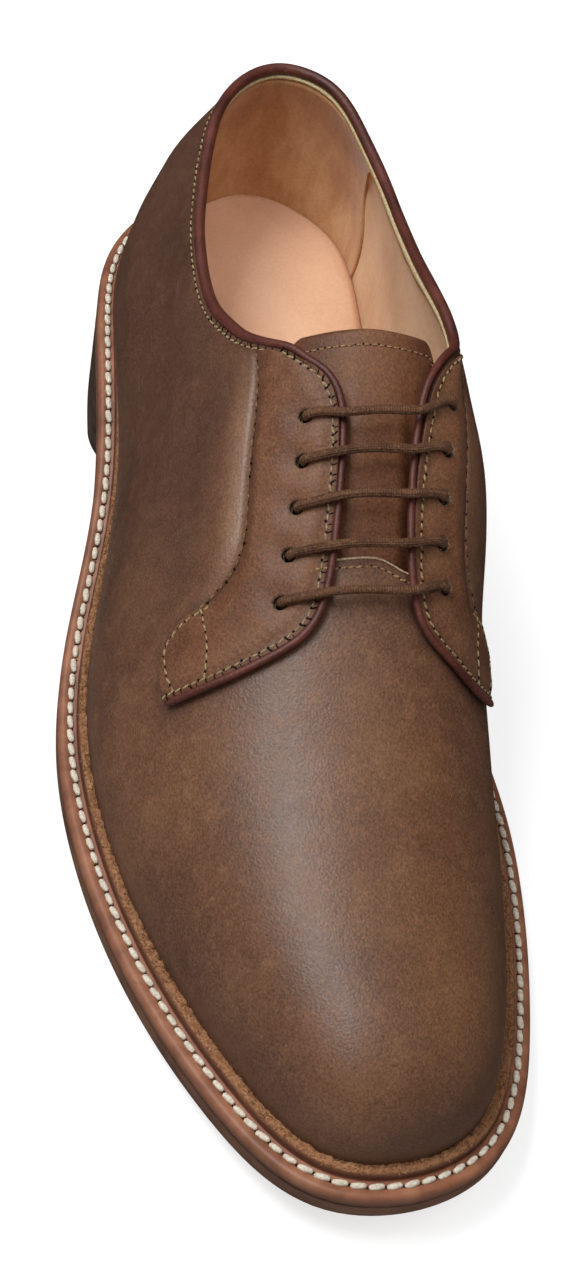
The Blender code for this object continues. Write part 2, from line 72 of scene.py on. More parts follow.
# Side of the plate from its underside up: outward from the upper, height
OUTSOLE_SIDE = (
    (5.4, 0.0), (6.6, 0.12), (7.3, 0.5), (7.75, 1.1), (8.0, 1.9), (8.1, 2.8), (8.1, 3.8), (8.0, 4.6),
    (7.95, 5.05), (7.5, 5.3), (4.0, 5.35),
)


def spline(knots, values):
    """Natural cubic spline through values at knots, as a function."""
    knots = np.asarray(knots, float)
    values = np.asarray(values, float)
    step = np.diff(knots)
    count = len(knots)
    matrix = np.eye(count)
    right = np.zeros_like(values)
    for i in range(1, count - 1):
        matrix[i, i - 1:i + 2] = step[i - 1], 2 * (step[i - 1] + step[i]), step[i]
        right[i] = 6 * ((values[i + 1] - values[i]) / step[i] - (values[i] - values[i - 1]) / step[i - 1])
    bend = np.linalg.solve(matrix, right)

    def curve(x):
        x = np.clip(np.asarray(x, float), knots[0], knots[-1])
        i = np.clip(np.searchsorted(knots, x) - 1, 0, count - 2)
        a = (knots[i + 1] - x) / step[i]
        weight = step[i] ** 2 / 6
        if values.ndim > 1:
            a = a[..., None]
            weight = weight[..., None]
        b = 1 - a
        arch = ((a**3 - a) * bend[i] + (b**3 - b) * bend[i + 1]) * weight
        return a * values[i] + b * values[i + 1] + arch

    return curve


def run_along(points):
    """Distance along a line of points, from 0 at its first."""
    return np.concatenate([[0], np.cumsum(np.linalg.norm(np.diff(points, axis=0), axis=1))])


def unit(vectors):
    """Vectors brought to a length of 1."""
    return vectors / np.linalg.norm(vectors, axis=-1)[..., None]


def closed_outline(points, samples=1440):
    """Even samples of a smooth closed line through the points."""
    points = np.asarray(points, float)
    overlap = 4
    run = np.vstack([points[-overlap:], points, points[:overlap + 1]])
    knots = np.concatenate([[0], np.cumsum(np.linalg.norm(np.diff(run, axis=0), axis=1) ** 0.5)])
    return spline(knots, run)(np.linspace(knots[overlap], knots[overlap + len(points)], samples + 1))[:-1]


def inward_normals(outline):
    """Unit normals of a closed outline, towards its middle."""
    tangent = np.roll(outline, -1, axis=0) - np.roll(outline, 1, axis=0)
    normal = unit(np.stack([tangent[:, 1], -tangent[:, 0]], -1))
    outward = np.sum((outline - outline.mean(axis=0)) * normal) > 0
    return -normal if outward else normal


def turn_table(outline, normals):
    """Turns of an outline's points from the lateral toe round the heel to the medial toe."""
    heel = int(np.argmin(outline[:, 0]))
    ring = np.roll(outline, -heel, axis=0)
    ring_normals = np.roll(normals, -heel, axis=0)
    toe = int(np.argmax(ring[:, 0]))
    count = len(ring)
    lateral = np.arange(toe, -1, -1)
    medial = np.arange(count, toe - 1, -1) % count

    def shares(order):
        run = run_along(ring[order])
        return run / run[-1]

    order = np.concatenate([lateral, medial[1:]])
    turns = np.concatenate([shares(lateral) - 1, shares(medial)[1:]])
    return turns, ring[order], ring_normals[order]


EDGE = closed_outline(WELT_EDGE)
EDGE_NORMALS = inward_normals(EDGE)
FEATHER = turn_table(EDGE + FLANGE * EDGE_NORMALS, EDGE_NORMALS)
MIDDLE = (EDGE.min(axis=0) + EDGE.max(axis=0)) / 2


def bottom_z(station):
    """Underside of the outsole: seat, arch, flat tread and toe spring."""
    back = np.clip((TREAD_START - station) / (TREAD_START - SEAT_END), 0, 1)
    seat = np.clip(SEAT_END - station, 0, None) * SEAT_TILT
    front = np.clip((station - TREAD_END) / (SOLE_LENGTH - TREAD_END), 0, None)
    return HEEL_HEIGHT * back**2 * (3 - 2 * back) + seat + TOE_SPRING * front**SPRING_POWER


def beside(turn, outward, height):
    """Points beside the foot of the upper, moved outward in plan, at a height over the sole's underside."""
    turns, points, normals = FEATHER
    turn, outward = np.broadcast_arrays(np.asarray(turn, float), np.asarray(outward, float))
    plan = [
        np.interp(turn, turns, points[:, k]) - outward * np.interp(turn, turns, normals[:, k])
        for k in (0, 1)
    ]
    return np.stack([plan[0], plan[1], bottom_z(plan[0]) + height], -1)


def place(points):
    """Station, x, z in millimetres to the frame in metres."""
    points = np.asarray(points, float).reshape(-1, 3)
    return np.stack([points[:, 1] - MIDDLE[1], MIDDLE[0] - points[:, 0], points[:, 2]], -1) * MM


def grid_faces(rows, columns, closed=False):
    """Quads of a grid of rows by columns; a closed one joins its last row to its first."""
    faces = []
    for i in range(rows if closed else rows - 1):
        j = (i + 1) % rows
        for k in range(columns - 1):
            faces.append((i * columns + k, j * columns + k, j * columns + k + 1, i * columns + k + 1))
    return faces


def new_object(name, data):
    """Object with the given data, linked into the scene."""
    made = bpy.data.objects.new(name, data)
    bpy.context.scene.collection.objects.link(made)
    return made


def make_piece(name, points, faces, materials, values=None, face_materials=None):
    """Closed mesh from points in millimetres, faces out, with its values kept as point attributes."""
    mesh = bpy.data.meshes.new(name)
    mesh.from_pydata(place(points).tolist(), [], faces)
    for label, data in (values or {}).items():
        attribute = mesh.attributes.new(label, "FLOAT", "POINT")
        attribute.data.foreach_set("value", np.asarray(data, np.float32).ravel())
    for material in materials:
        mesh.materials.append(material)
    if face_materials is not None:
        mesh.polygons.foreach_set("material_index", np.asarray(face_materials, np.int32))
    shape = bmesh.new()
    shape.from_mesh(mesh)
    bmesh.ops.remove_doubles(shape, verts=shape.verts, dist=1e-6)
    bmesh.ops.recalc_face_normals(shape, faces=shape.faces)
    shape.to_mesh(mesh)
    shape.free()
    mesh.shade_smooth()
    return new_object(name, mesh)


def plate_faces(rows, columns, open_front=False):
    """Faces of a plate: a side profile carried round the rows, with ladders across above and below."""
    faces = grid_faces(rows, columns, closed=not open_front)
    half = rows // 2
    for column in (0, columns - 1):
        for a in range(half):
            across = (rows - 1 - a, rows - 2 - a) if open_front else ((rows - a) % rows, rows - a - 1)
            ladder = (a, a + 1, across[1], across[0])
            face = tuple(dict.fromkeys(v * columns + column for v in ladder))
            if len(face) > 2:
                faces.append(face)
    if open_front:
        front = (rows - 1) * columns
        faces.extend((k, k + 1, front + k + 1, front + k) for k in range(columns - 1))
    return faces


def ring_turns(count):
    """Turns evenly round the shoe from the toe, denser at the toe and heel."""
    even = np.linspace(-1, 1, count + 1)[:-1]
    crowd = 0.045
    return even - crowd * np.sin(2 * np.pi * even) / np.pi


def srgb(red, green, blue):
    """Colour as seen, 0 to 255, as the linear colour of a shader."""
    seen = np.array([red, green, blue]) / 255
    return (*np.where(seen > 0.04, ((seen + 0.055) / 1.055) ** 2.4, seen / 12.92).tolist(), 1.0)


def add(tree, kind, inputs=None, **settings):
    """Adds a shader node; each input is a value or the socket that feeds it."""
    node = tree.nodes.new(kind)
    for name, value in settings.items():
        setattr(node, name, value)
    for name, value in (inputs or {}).items():
        if isinstance(value, bpy.types.NodeSocket):
            tree.links.new(value, node.inputs[name])
        else:
            node.inputs[name].default_value = value
    return node


def new_finish(name, **constants):
    """Material with a principled shader; the constants are set on the shader's own sockets."""
    material = bpy.data.materials.new(name)
    material.use_nodes = True
    shader = material.node_tree.nodes["Principled BSDF"]
    for label, value in constants.items():
        shader.inputs[label.replace("_", " ")].default_value = value
    tree = material.node_tree
    return material, tree, shader, add(tree, "ShaderNodeTexCoord").outputs["Object"]


def noise(tree, where, size, detail=3.0, roughness=0.55):
    """Noise with features of about the given size in millimetres, as a factor."""
    inputs = {"Vector": where, "Scale": 1000.0 / size, "Detail": detail, "Roughness": roughness}
    return add(tree, "ShaderNodeTexNoise", inputs).outputs["Fac"]


def ramp(tree, factor, stops):
    """Colour ramp from stops of a position and a colour as seen."""
    node = add(tree, "ShaderNodeValToRGB", {"Fac": factor})
    elements = node.color_ramp.elements
    while len(elements) < len(stops):
        elements.new(0.5)
    for element, (position, colour) in zip(elements, stops):
        element.position = position
        element.color = srgb(*colour)
    return node.outputs["Color"]


def mix(tree, factor, first, second, blend="MIX"):
    node = add(tree, "ShaderNodeMix", {0: factor, 6: first, 7: second}, data_type="RGBA", blend_type=blend)
    return node.outputs[2]


def between(tree, factor, low, high, start=0.0, end=1.0):
    """The factor's range from start to end, spread over low to high."""
    inputs = {"Value": factor, "From Min": start, "From Max": end, "To Min": low, "To Max": high}
    return add(tree, "ShaderNodeMapRange", inputs).outputs["Result"]


def point_value(tree, name):
    return add(tree, "ShaderNodeAttribute", attribute_name=name).outputs["Fac"]


def emboss(tree, height, depth, strength=1.0, below=None):
    """Bump of the given depth in millimetres, over another bump if there is one."""
    inputs = {"Height": height, "Distance": depth * MM, "Strength": strength}
    if below is not None:
        inputs["Normal"] = below
    return add(tree, "ShaderNodeBump", inputs).outputs["Normal"]


def join(tree, shader, colour=None, roughness=None, normal=None):
    """Feeds the shader's colour, roughness and normal."""
    for label, socket in (("Base Color", colour), ("Roughness", roughness), ("Normal", normal)):
        if socket is not None:
            tree.links.new(socket, shader.inputs[label])


def stretched(tree, where, scale):
    """Coordinates scaled by axis, for marks that are drawn out along one."""
    return add(tree, "ShaderNodeMapping", {"Vector": where, "Scale": scale}).outputs["Vector"]


def burnished_edge(name, dark, middle, layer_height, gloss):
    """Inked sole or heel leather: thin level layers, cloudy ink and a waxed burnish."""
    material, tree, shader, where = new_finish(name, Coat_Weight=0.15, Coat_Roughness=0.35)
    streaks = noise(tree, stretched(tree, where, (0.06, 0.06, 1.0)), layer_height, 4.0)
    clouds = noise(tree, where, 14.0, 4.0)
    colour = ramp(tree, clouds, ((0.32, dark), (0.7, middle)))
    colour = mix(tree, between(tree, streaks, 0.0, 0.5, 0.45, 0.7), colour, srgb(*dark))
    grain = noise(tree, where, 0.7, 3.0)
    normal = emboss(tree, grain, 0.05, 0.5, emboss(tree, streaks, 0.12, 0.5))
    join(tree, shader, colour, between(tree, clouds, gloss - 0.06, gloss + 0.1), normal)
    return material


outsole_turns = ring_turns(OUTSOLE_ROWS)
outsole_points = np.stack([beside(outsole_turns, out, up) for out, up in OUTSOLE_SIDE], 1)
sole_leather = burnished_edge("sole_leather", (84, 54, 38), (118, 80, 57), 0.9, 0.6)
outsole = make_piece(
    "outsole_plate", outsole_points, plate_faces(len(outsole_turns), len(OUTSOLE_SIDE)), [sole_leather]
)
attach(outsole, "root")
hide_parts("outsole")

# Heel block
# Lifts of leather stacked and nailed under the seat, over a top piece that meets the floor. The stack is
# trimmed flush, straight across at the breast, and inked very dark brown.
HEEL_BREAST = 75.0
HEEL_JOINTS = (0.0, 0.27, 0.46, 0.64, 0.82, 1.0)
HEEL_TAPER = 1.2
HEEL_TOP_INSET = 0.4
JOINT_DEPTH = 0.22
JOINT_HALF = 0.012
CORNER_DRAW = 2.4
CORNER_REACH = 9.0
HEEL_ROWS = 61


def heel_levels():
    """Share of the height and outward place of the block's side, drawn in a little at each joint."""
    levels = [(0.0, -0.7), (0.012, -0.25)]
    for low, high in zip(HEEL_JOINTS, HEEL_JOINTS[1:]):
        levels += [(low + JOINT_HALF * 2, 0.0), ((low + high) / 2, 0.04), (high - JOINT_HALF, 0.0)]
        if high < 1:
            levels.append((high, -JOINT_DEPTH))
    levels.append((1.0, -0.1))
    return [(up, FLANGE - HEEL_TOP_INSET - HEEL_TAPER * (1 - up) + out) for up, out in levels]


turns, points, _ = FEATHER
lateral_half = turns <= 0
breast_turn = -float(np.interp(HEEL_BREAST, points[lateral_half][::-1, 0], -turns[lateral_half][::-1]))
medial_half = turns >= 0
breast_medial = float(np.interp(HEEL_BREAST, points[medial_half][:, 0], turns[medial_half]))
heel_turns = np.concatenate(
    [np.linspace(breast_turn, 0, HEEL_ROWS), np.linspace(0, breast_medial, HEEL_ROWS)[1:]]
)
heel_columns = []
heel_reach = HEEL_BREAST - beside(heel_turns, 0, 0)[:, 0]
corner_draw = CORNER_DRAW * np.clip(1 - heel_reach / CORNER_REACH, 0, 1) ** 2
for up, out in heel_levels():
    column = beside(heel_turns, out - corner_draw, 0)
    column[:, 2] *= up
    heel_columns.append(column)
heel_points = np.stack(heel_columns, 1)
heel_leather = burnished_edge("heel_leather", (50, 37, 30), (82, 61, 50), 1.1, 0.5)
heel = make_piece(
    "heel_block", heel_points, plate_faces(len(heel_turns), len(heel_columns), True), [heel_leather]
)
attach(heel, "root")
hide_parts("heel")

# Welt
# A strip of reddish tan leather sewn round the upper. Its raised inner edge is split leather with an open
# nap; outside it lie the groove for the stitches and a rounded flange.
WELT_BASE = SOLE_THICKNESS + 0.3
WELT_TOP = WELT_BASE + 3.5

# Turn and the distance that the upper's foot, and the line of stitches, stand out from the feather line
FOOT_OUT = spline(
    (-1.0, -0.9, -0.8, -0.68, -0.5, -0.4, -0.2, -0.1, 0.0, 0.3, 0.6, 0.8, 1.0),
    (0.6, 0.5, 0.5, 1.0, 1.9, 2.3, 2.1, 1.6, 1.0, 1.0, 1.1, 0.9, 0.6))
STITCH_LINE = spline(
    (-1.0, -0.75, -0.5, -0.3, 0.0, 0.3, 0.6, 0.75, 1.0),
    (4.9, 4.8, 5.5, 5.7, 5.5, 5.6, 5.8, 5.7, 4.9))
GROOVE_HALF = 1.7
PROFILE_MARKS = (-1.0, 0.0, 2.6, 3.95, FLANGE)
WELT_ROWS = 1400
TUFTS_NEAR = 0.24
TUFTS_FAR = 0.1

# From the upper outward: outward, height over the welt's top, nap, painted shade, ink
WELT_COLUMNS = ("outward", "height", "nap", "dark", "ink")
WELT_SIDE = (
    (-1.0, -3.5, 0.0, 0.5, 0.0),
    (-1.0, 0.0, 0.0, 1.0, 0.0),
    (-0.9, 1.8, 0.6, 1.0, 0.0),
    (-0.35, 2.45, 1.0, 0.5, 0.0),
    (0.35, 2.7, 1.0, 0.05, 0.0),
    (1.05, 2.72, 1.0, 0.0, 0.0),
    (1.7, 2.6, 1.0, 0.0, 0.0),
    (2.15, 2.35, 0.9, 0.1, 0.0),
    (2.4, 2.0, 0.4, 0.5, 0.0),
    (2.5, 1.3, 0.0, 0.7, 0.0),
    (2.58, 0.5, 0.0, 0.9, 0.0),
    (2.70, 0.0, 0.0, 0.6, 0.0),
    (2.80, -0.1, 0.0, 0.2, 0.0),
    (3.1, -0.12, 0.0, 0.0, 0.0),
    (3.4, -0.24, 0.0, 0.05, 0.0),
    (3.95, -0.36, 0.0, 0.3, 0.0),
    (4.5, -0.26, 0.0, 0.1, 0.0),
    (4.9, 0.0, 0.0, 0.0, 0.0),
    (5.5, 0.14, 0.0, 0.0, 0.0),
    (6.15, 0.16, 0.0, 0.0, 0.0),
    (6.8, 0.06, 0.0, 0.0, 0.0),
    (7.3, -0.14, 0.0, 0.0, 0.1),
    (7.8, -0.52, 0.0, 0.0, 0.22),
    (8.15, -1.1, 0.0, 0.05, 0.38),
    (8.3, -1.8, 0.0, 0.1, 0.55),
    (8.28, -2.5, 0.0, 0.15, 0.8),
    (8.2, -3.15, 0.0, 0.3, 1.0),
    (7.95, -3.45, 0.0, 0.8, 1.0),
)


def welt_out(turn, outward):
    """Place of the profile's outward values at each turn, between the upper's foot and the trimmed edge."""
    foot, line = FOOT_OUT(turn), STITCH_LINE(turn)
    marks = np.stack([foot - 1, foot, line - GROOVE_HALF, line, np.full_like(line, FLANGE)], -1)
    return np.array([np.interp(outward, PROFILE_MARKS, row) for row in marks])


def maths(tree, operation, first, second=0.0):
    return add(tree, "ShaderNodeMath", {0: first, 1: second}, operation=operation).outputs[0]


def tan_welt():
    """Smooth waxed tan on the flange, rough split fibre on the raised edge."""
    material, tree, shader, where = new_finish("tan_welt", Coat_Weight=0.04, Coat_Roughness=0.45)
    clouds = noise(tree, where, 9.0, 5.0)
    sleek = ramp(tree, clouds, ((0.3, (114, 70, 49)), (0.52, (144, 92, 66)), (0.75, (166, 114, 84))))
    marks = noise(tree, where, 2.2, 5.0, 0.7)
    sleek = mix(tree, between(tree, marks, 0.0, 0.5, 0.5, 0.75), sleek, srgb(92, 56, 40))
    # The dark values paint shade on the flange: in the stitch groove and under its trimmed edge
    sleek = mix(tree, point_value(tree, "dark"), sleek, srgb(80, 42, 30))
    sleek = mix(tree, point_value(tree, "ink"), sleek, srgb(90, 58, 42))
    tufts = noise(tree, where, 0.8, 6.0, 0.75)
    rough = ramp(tree, tufts, ((0.28, (104, 66, 43)), (0.5, (172, 119, 82)), (0.72, (214, 164, 120))))
    # and on the nap: painted shade against the upper and where it falls to the groove
    rough = mix(tree, between(tree, point_value(tree, "dark"), 0.0, 0.75), rough, srgb(64, 40, 26))
    nap = point_value(tree, "nap")
    colour = mix(tree, nap, sleek, rough)
    scuffs = noise(tree, where, 1.6, 4.0, 0.65)
    normal = emboss(tree, scuffs, 0.1, 0.45)
    normal = emboss(tree, maths(tree, "MULTIPLY", tufts, nap), 0.8, 1.0, normal)
    roughness = between(tree, nap, 0.52, 0.95)
    join(tree, shader, colour, roughness, normal)
    return material


welt_table = np.array(WELT_SIDE)
welt_turns = ring_turns(WELT_ROWS)
welt_points = np.stack(
    [beside(welt_turns, welt_out(welt_turns, out), WELT_TOP + up) for out, up in welt_table[:, :2]], 1
)
# The split edge is torn: it stands up in tufts, most beside the upper
torn = np.random.default_rng(7).normal(0, 1, welt_points.shape[:2])
torn = torn + np.roll(torn, 1, 0) + 0.5 * np.roll(torn, 2, 0)
tuft_height = np.where(welt_table[:, 0] < 0.6, TUFTS_NEAR, TUFTS_FAR) * welt_table[:, 2]
welt_points[:, :, 2] += torn * tuft_height
columns = len(WELT_SIDE)
welt_faces = grid_faces(len(welt_turns), columns, closed=True)
for row in range(len(welt_turns)):
    following = (row + 1) % len(welt_turns)
    welt_faces.append((row * columns, row * columns + columns - 1,
                       following * columns + columns - 1, following * columns))
welt_values = {
    name: np.tile(welt_table[:, i], (len(welt_turns), 1)) for i, name in enumerate(WELT_COLUMNS) if i > 1
}
welt = make_piece("welt_strip", welt_points, welt_faces, [tan_welt()], welt_values)
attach(welt, "root")
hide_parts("welt")

# Welt stitching
# Bold lockstitches of waxed cream linen lie in the welt's groove, right round the shoe. Each pulls into
# an awl hole at its ends, and loose fibres of the nap stand beside the upper.
WELT_PITCH = 4.0
WELT_STITCH = {"Length": 3.6, "Width": 1.58, "Height": 1.3, "Slant": 0.12, "Unevenness": 0.06}
AWL_HOLE = {"Length": 0.45, "Width": 1.3, "Height": 0.5, "Slant": 0.35, "Shift": 0.5, "Unevenness": 0.12}
STITCH_SEAT = 0.12
AWL_INSET = 0.2
AWL_DEPTH = 0.25
FIBRES = {"Pitch": 0.5 * MM, "Length": 1.5 * MM, "Width": 0.11 * MM, "Lean": 1.3, "Seed": 11}
FIBRE_LINES = ((-0.4, 2.4), (0.1, 2.6), (0.7, 2.7), (1.3, 2.68), (1.8, 2.5), (2.15, 2.3))
FIBRE_SPIN = 3.1
SHORTEST_FIBRE = 0.35


def vector(tree, **parts):
    return add(tree, "ShaderNodeCombineXYZ", parts).outputs[0]


def random_value(tree, low, high, seed):
    """A random number for each spot of a row."""
    inputs = {2: low, 3: high, "Seed": seed}
    return add(tree, "FunctionNodeRandomValue", inputs, data_type="FLOAT").outputs[1]


def row_tree(name, sizes):
    """Tree for a row along lines of edges: the tree, its inputs and the spots at an even pitch."""
    tree = bpy.data.node_groups.new(name, "GeometryNodeTree")
    kinds = {"Geometry": "Geometry", **dict.fromkeys(sizes, "Float"), "Seed": "Int", "Material": "Material"}
    for label, kind in kinds.items():
        tree.interface.new_socket(label, in_out="INPUT", socket_type="NodeSocket" + kind)
    tree.interface.new_socket("Geometry", in_out="OUTPUT", socket_type="NodeSocketGeometry")
    given = tree.nodes.new("NodeGroupInput").outputs
    line = add(tree, "GeometryNodeMeshToCurve", {"Mesh": given["Geometry"]}).outputs["Curve"]
    spots = add(tree, "GeometryNodeResampleCurve", {"Curve": line, "Length": given["Pitch"]}, mode="LENGTH")
    return tree, given, spots.outputs["Curve"]


def end_row(tree, row, material):
    """Makes a row's instances real and gives them their material."""
    row = add(tree, "GeometryNodeRealizeInstances", {"Geometry": row.outputs[0]})
    row = add(tree, "GeometryNodeSetMaterial", {"Geometry": row.outputs[0], "Material": material})
    tree.links.new(row.outputs[0], tree.nodes.new("NodeGroupOutput").inputs["Geometry"])


def stitch_row_tree():
    """Stitches along lines of edges: blunt grains of thread laid end to end, square to the leather."""
    sizes = ("Pitch", "Length", "Width", "Height", "Slant", "Shift", "Aside", "Unevenness")
    tree, given, spots = row_tree("stitch_row", sizes)
    ball = add(tree, "GeometryNodeMeshUVSphere", {"Segments": 8, "Rings": 6, "Radius": 1.0})
    position = tree.nodes.new("GeometryNodeInputPosition").outputs[0]
    spot = add(tree, "ShaderNodeSeparateXYZ", {"Vector": position}).outputs
    blunt = maths(tree, "POWER", maths(tree, "ABSOLUTE", spot["X"]), 0.5)
    blunt = maths(tree, "MULTIPLY", blunt, maths(tree, "SIGN", spot["X"]))
    where = vector(tree, X=blunt, Y=spot["Y"], Z=spot["Z"])
    grain = add(tree, "GeometryNodeSetPosition", {"Geometry": ball.outputs["Mesh"], "Position": where})
    half = {axis: maths(tree, "MULTIPLY", given[label], 0.5)
            for axis, label in (("X", "Length"), ("Y", "Width"), ("Z", "Height"))}
    grain = add(tree, "GeometryNodeTransform", {"Geometry": grain.outputs[0], "Scale": vector(tree, **half)})
    shift = maths(tree, "MULTIPLY", given["Pitch"], given["Shift"])
    grain = add(tree, "GeometryNodeTransform", {
        "Geometry": grain.outputs[0], "Translation": vector(tree, X=shift, Y=given["Aside"]),
        "Rotation": vector(tree, Z=given["Slant"])})
    up = add(tree, "GeometryNodeInputNamedAttribute", {"Name": "up"}, data_type="FLOAT_VECTOR").outputs[0]
    ahead = tree.nodes.new("GeometryNodeInputTangent").outputs[0]
    square = add(tree, "FunctionNodeAlignRotationToVector", {"Vector": up}, axis="Z").outputs[0]
    square = add(tree, "FunctionNodeAlignRotationToVector",
                 {"Rotation": square, "Vector": ahead}, axis="X", pivot_axis="Z").outputs[0]
    uneven = given["Unevenness"]
    least = maths(tree, "SUBTRACT", 0.0, uneven)
    swing = vector(tree, Z=random_value(tree, least, uneven, given["Seed"]))
    swing = add(tree, "FunctionNodeEulerToRotation", {"Euler": swing}).outputs[0]
    square = add(tree, "FunctionNodeRotateRotation",
                 {"Rotation": square, "Rotate By": swing}, rotation_space="LOCAL").outputs[0]
    fullness = random_value(
        tree, maths(tree, "ADD", 1.0, least), maths(tree, "ADD", 1.0, uneven), given["Seed"])
    row = add(tree, "GeometryNodeInstanceOnPoints",
              {"Points": spots, "Instance": grain.outputs[0], "Rotation": square, "Scale": fullness})
    end_row(tree, row, given["Material"])
    return tree


def upright(normals):
    """Directions of station, x, z in the frame."""
    normals = np.asarray(normals, float).reshape(-1, 3)
    return np.stack([normals[:, 1], -normals[:, 0], normals[:, 2]], -1)


def guide_mesh(name, lines):
    """Edges along lines of points with their leather's normals: (points, normals, closed)."""
    points, ups, edges = [], [], []
    for line, normals, closed in lines:
        first = len(points)
        points.extend(place(line).tolist())
        ups.extend(upright(normals).tolist())
        count = len(line)
        edges.extend((first + i, first + i + 1) for i in range(count - 1))
        if closed:
            edges.append((first + count - 1, first))
    mesh = bpy.data.meshes.new(name)
    mesh.from_pydata(points, edges, [])
    mesh.attributes.new("up", "FLOAT_VECTOR", "POINT").data.foreach_set("vector", np.ravel(ups))
    return mesh


def grow(name, tree, guide, sizes, material):
    """Runs a node tree on a guide mesh and keeps the result as a plain mesh piece."""
    carrier = new_object(name, guide)
    modifier = carrier.modifiers.new(name, "NODES")
    modifier.node_group = tree
    inputs = [item for item in tree.interface.items_tree if item.in_out == "INPUT"]
    identifiers = {item.name: item.identifier for item in inputs}
    for label, value in {**sizes, "Material": material}.items():
        modifier[identifiers[label]] = value
    shaped = carrier.evaluated_get(bpy.context.evaluated_depsgraph_get())
    mesh = bpy.data.meshes.new_from_object(shaped)
    bpy.data.objects.remove(carrier)
    mesh.name = name
    mesh.shade_smooth()
    return new_object(name, mesh)


LENGTH_SIZES = ("Pitch", "Length", "Width", "Height", "Aside")


def sew(name, lines, pitch, sizes, material, seed):
    """A row of stitches, or of their holes, along the lines."""
    inputs = {"Pitch": pitch, "Shift": 0.0, "Aside": 0.0, **sizes}
    inputs = {label: value * MM if label in LENGTH_SIZES else value for label, value in inputs.items()}
    return grow(name, STITCH_ROW, guide_mesh(name, lines), {**inputs, "Seed": seed}, material)


def thread(name, dark, pale, twist):
    """Waxed thread: plies that show as fine flecks of paler and darker thread."""
    material, tree, shader, where = new_finish(name, Sheen_Weight=0.15, Specular_IOR_Level=0.3)
    plies = noise(tree, where, twist, 2.0)
    colour = ramp(tree, plies, ((0.3, dark), (0.62, pale)))
    join(tree, shader, colour, between(tree, plies, 0.75, 0.6), emboss(tree, plies, 0.12, 0.7))
    return material


def pit(name, colour):
    """Painted shade of a needle or awl hole: a dark mark where the hole is."""
    material, tree, shader, where = new_finish(name, Specular_IOR_Level=0.1)
    hole_shade = noise(tree, where, 0.5, 2.0)
    colour = ramp(tree, hole_shade, ((0.3, (14, 9, 7)), (0.75, colour)))
    join(tree, shader, colour, between(tree, hole_shade, 0.8, 1.0))
    return material


STITCH_ROW = stitch_row_tree()
welt_line_turns = np.linspace(-1, 1, 721)[:-1]
welt_line = beside(welt_line_turns, STITCH_LINE(welt_line_turns), WELT_TOP + STITCH_SEAT)
sole_rise = np.gradient(bottom_z(welt_line[:, 0])) / np.gradient(welt_line[:, 0])
sole_normals = np.stack([-sole_rise, np.zeros_like(sole_rise), np.ones_like(sole_rise)], -1)
cream_linen = thread("cream_linen", (186, 174, 154), (224, 215, 198), 0.7)
awl_hole = pit("awl_hole", (84, 50, 36))
welt_row = [(welt_line, sole_normals, True)]
welt_stitches = sew("welt_stitches", welt_row, WELT_PITCH, WELT_STITCH, cream_linen, 3)
# The awl holes are dark marks of painted shade in the groove at the stitches' ends
awl_line = beside(welt_line_turns, STITCH_LINE(welt_line_turns) - AWL_INSET, WELT_TOP - AWL_DEPTH)
welt_holes = sew("welt_stitch_holes", [(awl_line, sole_normals, True)], WELT_PITCH, AWL_HOLE, awl_hole, 4)
for piece in (welt_stitches, welt_holes):
    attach(piece, "root")


def fibre_row_tree():
    """Loose fibres along a line: thin cones at random angles and lengths."""
    tree, given, spots = row_tree("fibre_row", ("Pitch", "Length", "Width", "Lean"))
    fibre = add(tree, "GeometryNodeMeshCone", {
        "Vertices": 3, "Side Segments": 2, "Radius Top": 0.0, "Radius Bottom": given["Width"],
        "Depth": given["Length"]})
    lean = given["Lean"]
    back = maths(tree, "SUBTRACT", 0.0, lean)
    least = vector(tree, X=back, Y=back, Z=-FIBRE_SPIN)
    most = vector(tree, X=lean, Y=lean, Z=FIBRE_SPIN)
    angle = add(tree, "FunctionNodeRandomValue",
                {0: least, 1: most, "Seed": given["Seed"]}, data_type="FLOAT_VECTOR").outputs[0]
    size = random_value(tree, SHORTEST_FIBRE, 1.0, given["Seed"])
    row = add(tree, "GeometryNodeInstanceOnPoints",
              {"Points": spots, "Instance": fibre.outputs["Mesh"], "Rotation": angle, "Scale": size})
    end_row(tree, row, given["Material"])
    return tree


def split_fibre():
    """Matt fibre in light and dark tan."""
    material, tree, shader, where = new_finish("split_fibre", Specular_IOR_Level=0.1)
    tone = noise(tree, where, 2.0, 2.0)
    colour = ramp(tree, tone, ((0.35, (110, 70, 42)), (0.65, (206, 160, 112))))
    join(tree, shader, colour, between(tree, tone, 0.85, 1.0))
    return material


fibre_lines = []
for outward, height in FIBRE_LINES:
    line = beside(welt_line_turns, welt_out(welt_line_turns, outward), WELT_TOP + height)
    fibre_lines.append((line, sole_normals, True))
fibre_guide = guide_mesh("welt_fibres", fibre_lines)
welt_fibres = grow("welt_fibres", fibre_row_tree(), fibre_guide, FIBRES, split_fibre())
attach(welt_fibres, "root")

# Insole
# A leather insole under a sock of thin pale calf, glued down and smooth, a little dished by the heel.
WALL = 2.0
INSOLE_INSET = 2.3
INSOLE_TOP = WELT_BASE + 9.0
INSOLE_DISH = 1.1
INSOLE_ROUND = 1.2
ROUND_SHARE = 0.03
INSOLE_ACROSS = 24


def pale_sock():
    """Natural calf, matt, with soft clouds of deeper tan and a fine grain."""
    material, tree, shader, where = new_finish("pale_sock", Specular_IOR_Level=0.3)
    clouds = noise(tree, where, 30.0, 4.0)
    colour = ramp(tree, clouds, ((0.3, (206, 162, 131)), (0.55, (217, 174, 143)), (0.8, (226, 187, 158))))
    grain = noise(tree, where, 0.9, 4.0)
    colour = mix(tree, 0.12, colour, ramp(tree, grain, ((0.3, (158, 110, 74)), (0.7, (238, 202, 166)))))
    join(tree, shader, colour, between(tree, clouds, 0.52, 0.62), emboss(tree, grain, 0.06, 0.4))
    return material


